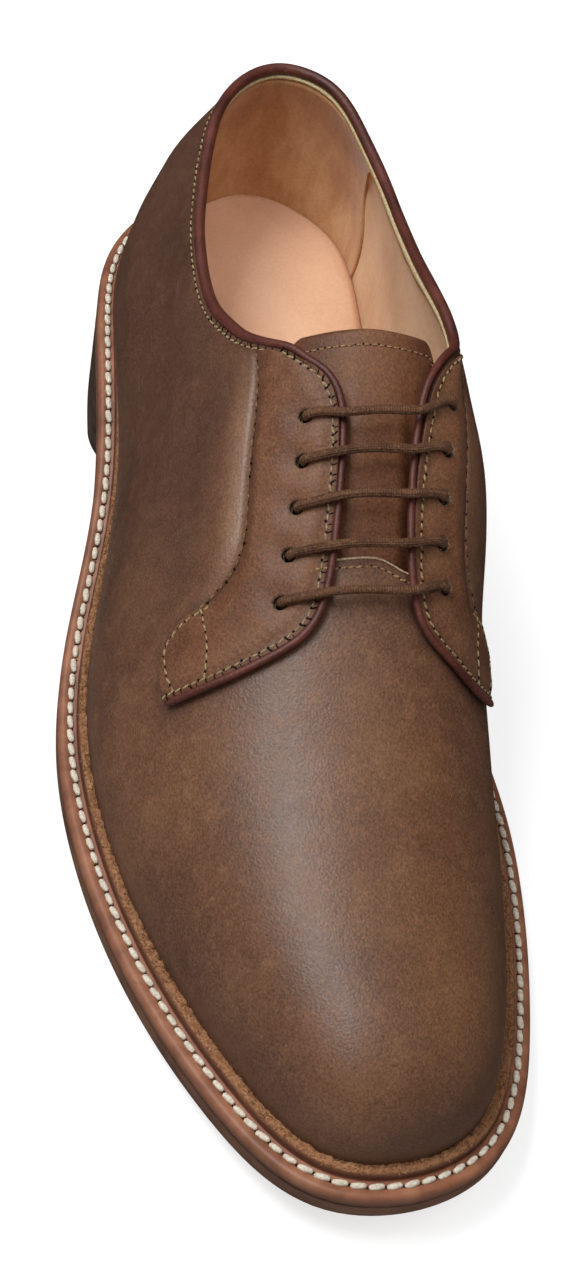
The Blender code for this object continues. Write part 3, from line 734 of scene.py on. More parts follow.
insole_along = np.concatenate([np.linspace(0, 0.1, 18)[:-1], np.linspace(0.1, 1, 90)])
across = np.linspace(0, 1, INSOLE_ACROSS + 1)
lateral_edge = beside(-insole_along, -INSOLE_INSET, INSOLE_TOP)
medial_edge = beside(insole_along, -INSOLE_INSET, INSOLE_TOP)
rounding = INSOLE_ROUND * np.clip(1 - np.minimum(across, 1 - across) / ROUND_SHARE, 0, 1) ** 2
dish = INSOLE_DISH * np.sin(np.pi * across) ** 0.6 + rounding
sheet = lateral_edge[:, None] + (medial_edge - lateral_edge)[:, None] * across[None, :, None]
top_sheet = sheet.copy()
top_sheet[:, :, 2] = bottom_z(sheet[:, :, 0]) + INSOLE_TOP - dish
low_sheet = sheet.copy()
low_sheet[:, :, 2] = bottom_z(sheet[:, :, 0]) + WELT_BASE


def slab_faces(rows, columns):
    """Faces of a sheet with thickness: an outer grid, an inner grid and the border between them."""
    shift = rows * columns
    sheet_faces = grid_faces(rows, columns)
    faces = sheet_faces + [tuple(shift + v for v in reversed(face)) for face in sheet_faces]
    border = [(0, k) for k in range(columns)]
    border += [(i, columns - 1) for i in range(1, rows)]
    border += [(rows - 1, k) for k in range(columns - 2, -1, -1)]
    border += [(i, 0) for i in range(rows - 2, 0, -1)]
    ids = [i * columns + k for i, k in border]
    faces.extend((a, b, shift + b, shift + a) for a, b in zip(ids, ids[1:] + ids[:1]))
    return faces


def make_slab(name, top, under, materials, values=None, kinds=(0, 0, 0)):
    """Piece from the grids of its top and underside; kinds number the materials of top, under and border."""
    rows, columns = top.shape[:2]
    faces = slab_faces(rows, columns)
    sheet = (rows - 1) * (columns - 1)
    face_kinds = np.repeat(kinds, (sheet, sheet, len(faces) - 2 * sheet))
    points = np.concatenate([top.reshape(-1, 3), under.reshape(-1, 3)])
    both = {label: np.tile(data.ravel(), 2) for label, data in (values or {}).items()}
    return make_piece(name, points, faces, materials, both, face_kinds)


insole = make_slab("insole_sock", top_sheet, low_sheet, [pale_sock()])
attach(insole, "root")
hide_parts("insole")

# Upper
# Vamp and sides in one piece of waxed brown leather, pulled over the last and lined with tan calf. Beside
# each facing the turned edge of the side stands proud; a raw arched edge closes the throat.

# Sections of the last. Each side leaves the welt with a handle that stands out by "out" and up by the
# share "up" of the rise, and reaches the ridge with a level handle of the share "top" of its width.
SECTION_COLUMNS = ("station", "ridge_x", "ridge_z",
                   "lat_out", "lat_up", "lat_top", "med_out", "med_up", "med_top")
SECTIONS = (
    (32, 2, 120.0, 5, 0.42, 0.50, 5, 0.42, 0.50),
    (48, 3, 120.0, 4, 0.40, 0.28, 4, 0.42, 0.70),
    (70, 4, 120.0, 3, 0.40, 0.38, 4, 0.42, 0.84),
    (100, 7, 117.0, 4, 0.42, 0.46, 8, 0.52, 0.92),
    (130, 10, 108.0, 5, 0.42, 0.50, 11, 0.60, 0.94),
    (146, 10, 99.0, 5, 0.42, 0.52, 12, 0.65, 0.94),
    (166, 9, 87.0, 5, 0.42, 0.55, 10, 0.62, 0.90),
    (186, 8, 75.0, 5, 0.42, 0.60, 7, 0.58, 0.80),
    (210, 8, 63.3, 4, 0.45, 0.65, 4, 0.53, 0.72),
    (240, 8, 53.5, 3, 0.50, 0.70, 3, 0.52, 0.70),
    (272, 9, 46.0, 2, 0.55, 0.70, 2, 0.55, 0.70),
)
HEEL_CENTRE = 32.0
TOE_CENTRE = 268.0
FAN_SHARE = 0.94
FAN_BLEND = 5.0

# How far the leather draws in from the sections, by turn, and the rises where each draw comes and goes. The
# collar hugs the heel and flares at the medial corner, the counter swells, and the medial side is flat.
DRAWS = (
    (spline((-0.30, -0.22, -0.18, -0.15, -0.115, -0.075, -0.04, 0.0, 0.03, 0.06, 0.09,
             0.125, 0.16, 0.19, 0.22, 0.26, 0.31, 0.345, 0.375, 0.405, 0.44, 0.47),
            (0.0, 0.3, 1.0, 2.8, 4.4, 3.3, 1.5, 0.2, 0.2, 0.9, 2.1,
             2.6, 1.9, 0.9, 0.3, 0.0, 0.0, -0.7, -1.7, -1.7, -0.4, 0.0)), (0.28, 0.46, 0.72, 0.95)),
    (spline((-0.46, -0.36, -0.28, -0.20, -0.13, -0.06, 0.0), (0.0, -1.7, -3.4, -3.9, -1.4, 0.2, 0.0)),
     (0.0, 0.08, 0.17, 0.32)),
    (spline((0.40, 0.44, 0.48, 0.52, 0.56, 0.60, 0.64, 0.68, 0.73, 0.80, 0.88),
            (0.0, -1.0, -1.2, 0.7, 2.9, 3.2, 2.8, 2.4, 1.7, 0.9, 0.0)), (0.03, 0.25, 0.5, 0.9)),
)

# Cut edge of the upper: share along the side, share of the rise on the lateral and the medial side
TOPLINE = (
    (0.00, 0.450, 0.450), (0.05, 0.444, 0.453), (0.10, 0.447, 0.446), (0.15, 0.444, 0.438),
    (0.20, 0.432, 0.436), (0.25, 0.424, 0.454), (0.30, 0.436, 0.488), (0.35, 0.481, 0.545),
    (0.38, 0.541, 0.578), (0.40, 0.595, 0.604), (0.42, 0.678, 0.672), (0.436, 0.760, 0.748),
    (0.452, 0.824, 0.800), (0.478, 0.873, 0.850), (0.525, 0.886, 0.884), (0.566, 0.884, 0.882),
)
VAMP_EDGE = 0.574
CUT_SHARE = 0.0014
ROW_COUNTS = (60, 78, 1, 30, 64)

# Facings, a row for each rung from the topline to the tab: seam end, then edge end, then bead height
FACINGS = {
    "lateral": (
        (0.416, 0.640, 0.438, 0.755, -0.6),
        (0.440, 0.658, 0.455, 0.832, -0.1),
        (0.475, 0.668, 0.479, 0.882, -0.1),
        (0.512, 0.675, 0.522, 0.896, 0.8),
        (0.548, 0.680, 0.574, 0.894, 1.9),
        (0.568, 0.650, 0.612, 0.862, 1.7),
        (0.579, 0.580, 0.629, 0.765, 1.7),
        (0.583, 0.515, 0.635, 0.620, 1.7),
        (0.594, 0.474, 0.632, 0.470, 1.7),
    ),
    "medial": (
        (0.408, 0.600, 0.436, 0.747, -0.6),
        (0.438, 0.635, 0.455, 0.815, -0.1),
        (0.472, 0.660, 0.479, 0.860, -0.1),
        (0.508, 0.672, 0.522, 0.894, 0.8),
        (0.545, 0.655, 0.574, 0.894, 1.9),
        (0.565, 0.600, 0.610, 0.855, 1.7),
        (0.575, 0.540, 0.626, 0.755, 1.7),
        (0.581, 0.480, 0.632, 0.600, 1.7),
        (0.587, 0.425, 0.622, 0.432, 1.7),
    ),
}
SIDES = {"lateral": -1, "medial": 1}
LAST_RUNG = len(FACINGS["lateral"]) - 1
SECTION = {
    name: spline([row[0] for row in SECTIONS], [row[i] for row in SECTIONS])
    for i, name in enumerate(SECTION_COLUMNS)
}
CUT = {side: spline([row[0] for row in TOPLINE], [row[column] for row in TOPLINE])
       for side, column in ((-1, 1), (1, 2))}


def feather_plan(turn):
    """Station and x of the upper's foot at a turn."""
    turns, points, _ = FEATHER
    return np.stack([np.interp(turn, turns, points[:, k]) for k in (0, 1)], -1)


def spine_station(along):
    """Station of the ridge that a section runs to; sections fan about the heel and toe centres."""
    middle = (feather_plan(-along)[..., 0] + feather_plan(along)[..., 0]) / 2
    heel_fan = np.logaddexp(0, (HEEL_CENTRE - middle) / FAN_BLEND) * FAN_BLEND
    toe_fan = np.logaddexp(0, (middle - TOE_CENTRE) / FAN_BLEND) * FAN_BLEND
    return middle + FAN_SHARE * (heel_fan - toe_fan)


def smooth(x, start, end):
    """Smooth step from 0 at start to 1 at end."""
    share = np.clip((np.asarray(x, float) - start) / (end - start), 0, 1)
    return share * share * (3 - 2 * share)


def within(x, start, full, fade, end):
    """Smooth gate: 0 up to start, 1 from full to fade, and 0 again from end."""
    return smooth(x, start, full) * (1 - smooth(x, fade, end))


def hill(distance, middle, spread):
    """Round hill, 1 at its middle, that falls off over its spread on both sides."""
    return np.exp(-((distance - middle) / spread) ** 2)


def last(turn, rise):
    """Outer surface of the upper: rise from the welt 0 to the ridge 1, and over it down the other side."""
    turn, rise = np.broadcast_arrays(np.asarray(turn, float), np.asarray(rise, float))
    over = rise > 1
    turn = (np.where(over, -turn, turn) + 1) % 2 - 1
    rise = np.where(over, 2 - rise, rise)
    start = feather_plan(turn)
    start_z = bottom_z(start[..., 0]) + WELT_TOP
    station = spine_station(np.abs(turn))
    out, up, top = (
        np.where(turn < 0, SECTION["lat" + name](station), SECTION["med" + name](station))
        for name in ("_out", "_up", "_top")
    )
    ridge_z = SECTION["ridge_z"](station)
    slope = SECTION["ridge_z"](station + 0.5) - SECTION["ridge_z"](station - 0.5)
    across = np.stack([station - start[..., 0], SECTION["ridge_x"](station) - start[..., 1]], -1)
    width = np.linalg.norm(across, axis=-1)
    shoulder_z = ridge_z + slope * top * (start[..., 0] - station)
    weights = ((1 - rise)**3, 3 * rise * (1 - rise)**2, 3 * rise**2 * (1 - rise), rise**3)
    inward = -weights[1] * out + weights[2] * width * (1 - top) + weights[3] * width
    for draw, gate in DRAWS:
        inward = inward + draw(turn) * within(rise, *gate)
    z = (weights[0] * start_z + weights[1] * (start_z + up * (ridge_z - start_z))
         + weights[2] * shoulder_z + weights[3] * ridge_z)
    plan = start + across * (inward / width)[..., None]
    return np.concatenate([plan, z[..., None]], -1)


def slopes(turn, rise, reach=1e-3):
    """How the upper's surface runs with the turn and with the rise, and its outward normal."""
    ahead = (last(turn + reach, rise) - last(turn - reach, rise)) / (2 * reach)
    upward = (last(turn, rise + reach) - last(turn, rise - reach)) / (2 * reach)
    return ahead, upward, unit(np.cross(upward, ahead))


def skin(turn, rise, lift):
    """The upper's surface moved along its outward normal by lift."""
    return last(turn, rise) + slopes(turn, rise)[2] * np.asarray(lift, float)[..., None]


def facing_curves(name):
    """Seam, edge and bead height of a facing as functions of the rung number."""
    table = np.array(FACINGS[name])
    rungs = np.arange(len(table))
    return spline(rungs, table[:, 0:2]), spline(rungs, table[:, 2:4]), spline(rungs, table[:, 4])


def cut_rise(turn):
    """Share of the rise at the upper's cut edge, carried on beside the vamp's cap to the toe."""
    along = np.abs(turn)
    return np.where(turn < 0, CUT[-1](along), CUT[1](along))


def seam_rise(turn):
    """Share of the rise of the seam beside each facing, carried on to the heel and to the toe."""
    along = np.abs(turn)
    heel_share, lead_in = 0.93, 0.10
    rises = []
    for name, side in SIDES.items():
        seam = facing_curves(name)[0](np.linspace(0, LAST_RUNG, 200))
        start = seam[0, 0]
        start_share = seam[0, 1] / CUT[side](start)
        behind = heel_share + (start_share - heel_share) * smooth(along, start - lead_in, start)
        carried = np.interp(along, seam[:, 0], seam[:, 1])
        rises.append(np.where(along < start, behind * CUT[side](along), carried))
    return np.minimum(np.where(turn < 0, *rises), 0.985 * cut_rise(turn))


# Turned edge of the side: height at the seam, crest and its place and spread, hollow behind it
SEAM_EDGE = 1.1
CREST = 2.1
CREST_PLACE = 5.5
CREST_SPREAD = 10.0
HOLLOW = 0.9
HOLLOW_PLACE = 22.0
HOLLOW_SPREAD = 10.0
CREST_ALONG = (0.385, 0.475, 0.545, 0.592)
MEDIAL_CREST = 0.3
ARCH_DROPS = {-1: 0.001, 1: 0.007}
ARCH_HALF = 0.11


def crest_gate(turn):
    """How far the side's edge is turned, from none at the collar and the tab to full between them."""
    return within(np.abs(turn), *CREST_ALONG) * np.where(np.asarray(turn) < 0, 1.0, MEDIAL_CREST)


def crest_lift(turn, below_seam):
    """Lift of the side leather at a distance below the seam in millimetres."""
    climb = SEAM_EDGE + (CREST - SEAM_EDGE) * np.sin(np.pi / 2 * np.clip(below_seam / CREST_PLACE, 0, 1))
    fall = hill(np.clip(below_seam, CREST_PLACE, None), CREST_PLACE, CREST_SPREAD)
    hollow = HOLLOW * hill(below_seam, HOLLOW_PLACE, HOLLOW_SPREAD)
    return crest_gate(turn) * (climb * fall - hollow)


def arch_shift(turn, rise):
    """Rows near the throat lean towards the toe at the sides, so that the vamp's edge is an arch."""
    near = within(np.abs(turn), 0.50, VAMP_EDGE, VAMP_EDGE, 0.70)
    drop = np.where(turn < 0, -ARCH_DROPS[-1], ARCH_DROPS[1])
    return drop * near * smooth(1 - rise, 0.0, ARCH_HALF)


def half_turns():
    """Shares along one side for the rows of the upper."""
    cut_end = VAMP_EDGE + CUT_SHARE
    ends = (0.0, 0.36, VAMP_EDGE, cut_end, 0.66, 1.0)
    rows = [0.0]
    for low, high, count in zip(ends, ends[1:], ROW_COUNTS):
        rows.extend(np.linspace(low, high, count + 1)[1:])
    return np.array(rows)


def drift(points):
    """Slow unevenness of hand-lasted leather, in millimetres."""
    station, x = points[..., 0], points[..., 1]
    slow = 0.09 * np.sin(station / 17 + x / 23) * np.sin(x / 15 + 1)
    return slow + 0.05 * np.sin(station / 7.3 + 2) * np.sin(x / 6.1 + 0.5)


LOW_COLUMNS = 34
HIGH_COLUMNS = 16
CAP_COLUMNS = 41
LINING_COLUMNS = 28
UNDER_FACING = -0.12
ARCH_CHAMFER = 0.38
along_rows = half_turns()
upper_turns = np.concatenate([-along_rows[::-1], along_rows[1:-1]])
seam = seam_rise(upper_turns)
cut = cut_rise(upper_turns)
low_rise = seam[:, None] * np.linspace(0, 1, LOW_COLUMNS) ** 0.9
high_rise = seam[:, None] + (cut - seam)[:, None] * np.linspace(0, 1, HIGH_COLUMNS)
rise_length = np.linalg.norm(slopes(upper_turns, seam)[1], axis=-1)
below = (seam[:, None] - low_rise) * rise_length[:, None]
low_turn = upper_turns[:, None] + arch_shift(upper_turns[:, None], low_rise)
high_turn = upper_turns[:, None] + arch_shift(upper_turns[:, None], high_rise)
low_lift = crest_lift(upper_turns[:, None], below) + drift(last(low_turn, low_rise))
facing_gate = within(np.abs(upper_turns), *CREST_ALONG[:2], 0.57, 0.60)
high_fade = smooth(high_rise - seam[:, None], 0.0, 0.02) * smooth(cut[:, None] - high_rise, 0.0, 0.02)
high_lift = drift(last(high_turn, high_rise)) + UNDER_FACING * facing_gate[:, None] * high_fade
foot_out = FOOT_OUT(upper_turns)
foot = beside(upper_turns, foot_out, WELT_BASE)[:, None]
foot_swell = foot - beside(upper_turns, 0, foot[:, 0, 2] - bottom_z(foot[:, 0, 0]))[:, None]
foot_swell[..., 2] = 0
near_foot = ((1 - low_rise / seam[:, None]) ** 3)[..., None]
low_skin = skin(low_turn, low_rise, low_lift) + foot_swell * near_foot
outer = np.concatenate([foot, low_skin, skin(high_turn, high_rise, high_lift)], 1)

lining_rise = cut[:, None] * np.linspace(0, 1, LINING_COLUMNS)
lining_turn = upper_turns[:, None] + arch_shift(upper_turns[:, None], lining_rise)
lining_foot = beside(upper_turns, -WALL, WELT_BASE)[:, None]
lining = np.concatenate([lining_foot, skin(lining_turn, lining_rise, -WALL)], 1)

# The vamp's cap closes the front over the ridge, from one side's cut edge to the other's
cap_along = along_rows[along_rows >= VAMP_EDGE - 1e-9]
cap_across = np.linspace(-1, 1, CAP_COLUMNS)
cap_side = np.where(cap_across < 0, -1.0, 1.0)
cap_turn = cap_side * cap_along[:, None]
cap_rise = 1 - (1 - cut_rise(cap_turn)) * np.abs(cap_across)
cap_turn = cap_turn + arch_shift(cap_turn, cap_rise)
cap_lift = drift(last(cap_turn, cap_rise))
cap_lift[0] -= ARCH_CHAMFER * (1 - cap_across**6)
cap = skin(cap_turn, cap_rise, cap_lift)
cap_lining = skin(cap_turn, cap_rise, -WALL)

LEATHER, LINING, RAW_EDGE = range(3)
rows, outer_columns = outer.shape[:2]
lining_columns, cap_rows = lining.shape[1], len(cap_along)
lining_first = rows * outer_columns
cap_first = lining_first + rows * lining_columns
cap_lining_first = cap_first + cap_rows * CAP_COLUMNS


def moved(faces, first):
    """Faces with their points counted on from the first."""
    return [tuple(first + v for v in face) for face in faces]


outer_faces = grid_faces(rows, outer_columns, closed=True)
lining_faces = moved(grid_faces(rows, lining_columns, closed=True), lining_first)
cap_faces = grid_faces(cap_rows, CAP_COLUMNS)
collar_faces, rim_faces, foot_faces = [], [], []
for row in range(rows):
    following = (row + 1) % rows
    a, b = row * outer_columns, following * outer_columns
    c, d = lining_first + row * lining_columns, lining_first + following * lining_columns
    foot_faces.append((a, b, d, c))
    if max(abs(upper_turns[row]), abs(upper_turns[following])) <= VAMP_EDGE + 1e-9:
        top, inner_top = outer_columns - 1, lining_columns - 1
        collar_faces.append((a + top, b + top, d + inner_top, c + inner_top))
for k in range(CAP_COLUMNS - 1):
    rim_faces.append((cap_first + k, cap_first + k + 1, cap_lining_first + k + 1, cap_lining_first + k))
kinds_of_faces = (
    (outer_faces, LEATHER),
    (moved(cap_faces[CAP_COLUMNS - 1:], cap_first), LEATHER),
    (lining_faces, LINING),
    (moved(cap_faces[:CAP_COLUMNS - 1], cap_first), RAW_EDGE),
    (moved(cap_faces, cap_lining_first), LINING),
    (foot_faces, LINING),
    (rim_faces, RAW_EDGE),
    (collar_faces, LEATHER),
)
upper_faces = [face for faces, _ in kinds_of_faces for face in faces]
upper_kinds = [kind for faces, kind in kinds_of_faces for _ in faces]
upper_points = np.concatenate([part.reshape(-1, 3) for part in (outer, lining, cap, cap_lining)])

# Painted shade darkens the leather towards the welt, where it is partly burnish, at the back, low on the
# toe, in the hollow behind the raised edge and beside the facings' free edges; a painted highlight, partly
# rub, pales the raised edge
TAB_BULGE = 0.013
TAB_START = 6.0
TAB_SHADE = 1.7
BEAD_SHADE = 3.6
HIGHLIGHT_SPREAD = 3.5
HOLLOW_SHADE = 11.0


def free_edges(name):
    """Lines round a facing's tab and along its bound edge, each with the spread of its shade."""
    seam_at, edge_at, _ = facing_curves(name)
    share = np.linspace(0, 1, 20)
    tip = seam_at(LAST_RUNG) + (edge_at(LAST_RUNG) - seam_at(LAST_RUNG)) * share[:, None]
    tip[:, 1] -= TAB_BULGE * np.sin(np.pi * share)
    tab = np.concatenate([seam_at(np.linspace(TAB_START, LAST_RUNG, 16)), tip])
    bound = edge_at(np.linspace(4.0, LAST_RUNG, 50))
    return [(last(SIDES[name] * spots[:, 0], spots[:, 1]), spread)
            for spots, spread in ((tab, TAB_SHADE), (bound, BEAD_SHADE))]


def edge_shade(points):
    """Painted shadow on the vamp close to the facings' free edges."""
    shade = np.zeros(points.shape[:-1])
    for name in SIDES:
        for line, spread in free_edges(name):
            reach = np.linalg.norm(points[..., None, :] - line, axis=-1).min(axis=-1)
            shade = np.maximum(shade, hill(reach, 0, spread))
    return shade


all_rise = np.concatenate([np.zeros((rows, 1)), low_rise, high_rise], 1)
all_below = np.concatenate([below[:, :1], below, np.full((rows, HIGH_COLUMNS), -9.0)], 1)
at_toe = smooth(np.abs(upper_turns), 0.66, 0.92)[:, None]
at_medial_toe = smooth(upper_turns, 0.55, 0.7)[:, None]
at_back = 1 - smooth(np.abs(upper_turns), 0.3, 0.72)[:, None]

# Each band of painted shade, partly burnish at the welt: amount, where it is, and the rises between which it
# fades
SHADES_AND_BURNISHES = (
    (0.9, 1.0, 0.0, 0.14),
    (0.3, 1.0, 0.0, 0.04),
    (0.25, 1.0, 0.05, 0.40),
    (0.5, at_toe, 0.15, 0.75),
    (0.22, at_medial_toe, 0.3, 0.9),
)
# Painted shade at the back, and painted shadow beside the facings' free edges
shade_and_burnish = 0.9 * at_back + edge_shade(outer)
for amount, where, start, end in SHADES_AND_BURNISHES:
    shade_and_burnish = shade_and_burnish + amount * where * (1 - smooth(all_rise, start, end))
turned_edge = crest_gate(upper_turns)[:, None]
# Painted highlight, partly rub, along the crest of the raised edge
rub_and_highlight = turned_edge * hill(all_below, CREST_PLACE / 2, HIGHLIGHT_SPREAD)
# The hollow behind the raised edge gets painted shade too
shade_and_burnish = np.clip(shade_and_burnish + 0.5 * turned_edge * hill(all_below, HOLLOW_PLACE, HOLLOW_SHADE), 0, 1)
plain = np.zeros(len(upper_points) - outer[..., 0].size)
cap_end = cap_first + cap[..., 0].size
shaded_points = np.concatenate([shade_and_burnish.ravel(), plain])
shaded_points[cap_first:cap_end] = edge_shade(cap).ravel()
upper_values = {
    "shade_and_burnish": shaded_points,
    "rub_and_highlight": np.concatenate([rub_and_highlight.ravel(), plain]),
}


def waxed_leather(name, wax, specular, tone):
    """Waxed pull-up leather of a tone: clouded brown, darker under painted shade and burnish, paler under
    painted highlight and where it is pulled, with a fine grain.
    """
    material, tree, shader, where = new_finish(
        name, Coat_Weight=wax, Coat_Roughness=0.36, Specular_IOR_Level=specular)
    clouds = noise(tree, where, 42.0, 5.0, 0.6)
    colour = ramp(tree, clouds, ((0.32, (82, 54, 37)), (0.5, (102, 69, 47)), (0.68, (118, 83, 55))))
    flecks = noise(tree, where, 5.0, 5.0, 0.7)
    colour = mix(tree, between(tree, flecks, 0.0, 0.55, 0.5, 0.72), colour, srgb(134, 95, 62))
    pores = noise(tree, where, 0.42, 3.0, 0.6)
    colour = mix(tree, between(tree, pores, 0.16, 0.0, 0.3, 0.5), colour, srgb(58, 36, 25))
    fine = noise(tree, stretched(tree, where, (1.0, 0.65, 1.0)), 0.5, 3.0, 0.7)
    colour = mix(tree, 0.2, colour, ramp(tree, fine, ((0.32, (58, 37, 26)), (0.68, (142, 102, 73)))))
    colour = mix(tree, 1.0, colour, (*tone, 1.0), "MULTIPLY")
    # The point values darken it with painted shade, partly burnish, and pale it with a painted highlight,
    # partly rub
    colour = mix(tree, between(tree, point_value(tree, "shade_and_burnish"), 0.0, 0.62), colour, srgb(65, 43, 36))
    colour = mix(tree, between(tree, point_value(tree, "rub_and_highlight"), 0.0, 0.4), colour, srgb(150, 112, 84))
    tints = noise(tree, where, 9.0, 4.0, 0.6)
    colour = mix(tree, between(tree, tints, 0.0, 0.24, 0.5, 0.7), colour, srgb(110, 69, 50))
    colour = mix(tree, 1.0, colour, between(tree, fine, 0.74, 1.26, 0.3, 0.7), "MULTIPLY")
    cells = add(tree, "ShaderNodeTexVoronoi", {"Vector": where, "Scale": 1600.0}, feature="SMOOTH_F1")
    creases = noise(tree, where, 2.6, 5.0, 0.7)
    normal = emboss(tree, creases, 0.04, 0.35)
    normal = emboss(tree, cells.outputs["Distance"], 0.08, 0.8, normal)
    normal = emboss(tree, pores, 0.07, 0.8, normal)
    join(tree, shader, colour, between(tree, flecks, 0.43, 0.57, 0.3, 0.7), normal)
    tree.links.new(normal, shader.inputs["Coat Normal"])
    return material


def calf_lining():
    """Tan lining calf: matt, cloudy, darker where it was wetted over the last."""
    material, tree, shader, where = new_finish("calf_lining", Specular_IOR_Level=0.25, Sheen_Weight=0.1)
    clouds = noise(tree, where, 24.0, 5.0, 0.6)
    colour = ramp(tree, clouds, ((0.28, (206, 162, 122)), (0.52, (226, 188, 148)), (0.75, (236, 204, 168))))
    grain = noise(tree, where, 1.1, 4.0)
    colour = mix(tree, 0.18, colour, ramp(tree, grain, ((0.3, (158, 112, 76)), (0.7, (240, 210, 174)))))
    join(tree, shader, colour, between(tree, grain, 0.6, 0.75), emboss(tree, grain, 0.08, 0.5))
    return material


def raw_cut(name, dark, pale):
    """Cut edge of leather: pale open fibre."""
    material, tree, shader, where = new_finish(name, Specular_IOR_Level=0.15)
    fibre = noise(tree, where, 0.6, 4.0)
    join(tree, shader, ramp(tree, fibre, ((0.3, dark), (0.65, pale))), between(tree, fibre, 0.8, 0.95),
         emboss(tree, fibre, 0.12, 0.6))
    return material


brown_leather = waxed_leather("brown_leather", 0.23, 0.42, (0.97, 0.93, 0.935))
tan_lining = calf_lining()
raw_edge = raw_cut("raw_edge", (150, 116, 84), (222, 200, 168))
upper = make_piece(
    "upper_leather", upper_points, upper_faces, [brown_leather, tan_lining, raw_edge],
    upper_values, upper_kinds
)
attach(upper, "root")
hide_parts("upper")

# Facings
# A facing of the same leather on each side carries five punched eyelets. Its rear edge is tucked under the
# side and sewn; its front edge lies over the vamp and ends in a tab that is sewn down in a small box.
FACING_LIFT = 1.8
FACING_UNDER = 0.25
FACING_RUNGS = 190
FACING_ACROSS = 46
SEAM_STEP = 0.3
TOP_REACH = 6.0
STITCH_GROOVE = 0.22
GROOVE_PLACE = 2.2
GROOVE_SPREAD = 1.3
EYELET_COUNT = 5
EYELETS = {
    "lateral": {"first": 0.482, "step": 0.0290, "sag": 0.0,
                "rise_top": 0.803, "rise_low": 0.785, "bow": 0.010},
    "medial": {"first": 0.4655, "step": 0.0297, "sag": 0.0045,
               "rise_top": 0.752, "rise_low": 0.775, "bow": 0.034},
}
EYELET_RADIUS = 1.6
EYELET_DIMPLE = 0.45
DIMPLE_SPREAD = 3.4
RING_LIFT = 0.14
RING_PLACE = 6.0
RING_SPREAD = 2.5
PUCKER = 0.05
PUCKER_PITCH = 2.15
PUCKER_PLACE = 3.6
PUCKER_SPREAD = 1.8
EDGE_SWELL = 0.18
SWELL_PLACE = 6.0
SWELL_SPREAD = 3.5
FACING_CROWD = 0.06
SEAM_REACH = 2.2
TUCK_END = (5.6, 6.6)
FOLD_WIDTH = 1.3
FOLD_DROP = 0.4
LEAST_FACING = 0.4


def eyelet(name, number):
    """Along and rise of an eyelet, counted from the top one."""
    row = EYELETS[name]
    share = number / (EYELET_COUNT - 1)
    rise = row["rise_top"] + (row["rise_low"] - row["rise_top"]) * share
    hump = 4 * share * (1 - share)
    return row["first"] + row["step"] * number + row["sag"] * hump, rise + row["bow"] * hump


def facing_spots(name, rung, share):
    """Turn and rise at a rung, and a share of the way from its seam to its edge."""
    seam_at, edge_at, _ = facing_curves(name)
    start, end = seam_at(rung), edge_at(rung)
    spot = start + (end - start) * np.asarray(share, float)[..., None]
    rounded = TAB_BULGE * np.sin(np.pi * np.clip(share, 0, 1)) * smooth(rung, LAST_RUNG - 1, LAST_RUNG)
    return SIDES[name] * spot[..., 0], spot[..., 1] - rounded


def facing_width(name, rung):
    """Length of a rung in millimetres."""
    rungs, shares = np.meshgrid(rung, np.linspace(0, 1, 13), indexing="ij")
    turn, rise = facing_spots(name, rungs, shares)
    return np.linalg.norm(np.diff(last(turn, rise), axis=1), axis=-1).sum(axis=1)


def make_facing(name):
    """One facing, tucked in at its seam, grooved along its edge and dimpled at the eyelets."""
    rung = np.linspace(0, LAST_RUNG, FACING_RUNGS)
    width = facing_width(name, rung)[:, None]
    even = np.linspace(0, 1, FACING_ACROSS)
    share = even - FACING_CROWD * np.sin(2 * np.pi * even) / np.pi
    rungs, share = np.meshgrid(rung, share, indexing="ij")
    turn, rise = facing_spots(name, rungs, share)
    surface = last(turn, rise)
    from_seam = share * width
    from_edge = (1 - share) * width
    run = run_along(surface[:, -1])
    from_tab = (run[-1] - run)[:, None]
    tucked = 1 - smooth(rung, *TUCK_END)[:, None]
    seam_lift = np.minimum(crest_lift(turn[:, :1], 0.0) - SEAM_STEP, FACING_LIFT)
    lift = np.full_like(share, FACING_LIFT)
    seam_reach = SEAM_REACH + TOP_REACH * (1 - crest_gate(turn[:, :1]))
    lift += (seam_lift - FACING_LIFT) * tucked * (1 - smooth(from_seam / seam_reach, 0.0, 1.0))
    lift -= STITCH_GROOVE * hill(from_edge, GROOVE_PLACE, GROOVE_SPREAD)
    lift += EDGE_SWELL * hill(from_edge, SWELL_PLACE, SWELL_SPREAD)
    seam_fold = (1 - tucked) * (1 - smooth(from_seam, 0.0, FOLD_WIDTH))
    folded = np.clip(1 - smooth(from_tab, 0.0, FOLD_WIDTH) + seam_fold, 0, 1)
    lift -= FOLD_DROP * folded ** 2
    pucker = np.sin(2 * np.pi * run / PUCKER_PITCH + 1.5 * np.sin(run / 9))[:, None]
    lift += PUCKER * pucker * hill(from_edge, PUCKER_PLACE, PUCKER_SPREAD)
    for number in range(EYELET_COUNT):
        along, up = eyelet(name, number)
        reach = np.linalg.norm(surface - last(SIDES[name] * along, up), axis=-1)
        lift -= EYELET_DIMPLE * hill(reach, 0, DIMPLE_SPREAD)
        lift += RING_LIFT * hill(reach, RING_PLACE, RING_SPREAD)
    lift += drift(surface * 1.7)
    under = np.minimum(FACING_UNDER, lift - LEAST_FACING)
    # Painted highlight, partly rub, on the swell inside the bound edge and on the folded edges; painted
    # shade beside the tucked seam and along the bound edge
    rubbed_and_lit = 0.55 * hill(from_edge, 5.0, 3.0) + 0.5 * folded
    shaded = 0.8 * hill(from_seam, 0, 2.0) * tucked + 0.5 * hill(from_edge, 1.0, 1.2)
    values = {"shade_and_burnish": np.clip(shaded, 0, 1), "rub_and_highlight": 0.6 * rubbed_and_lit}
    return make_slab("facing_" + name + "_leather", skin(turn, rise, lift), skin(turn, rise, under),
                     [dry_leather, painted_shade_edge], values, (0, 0, 1))


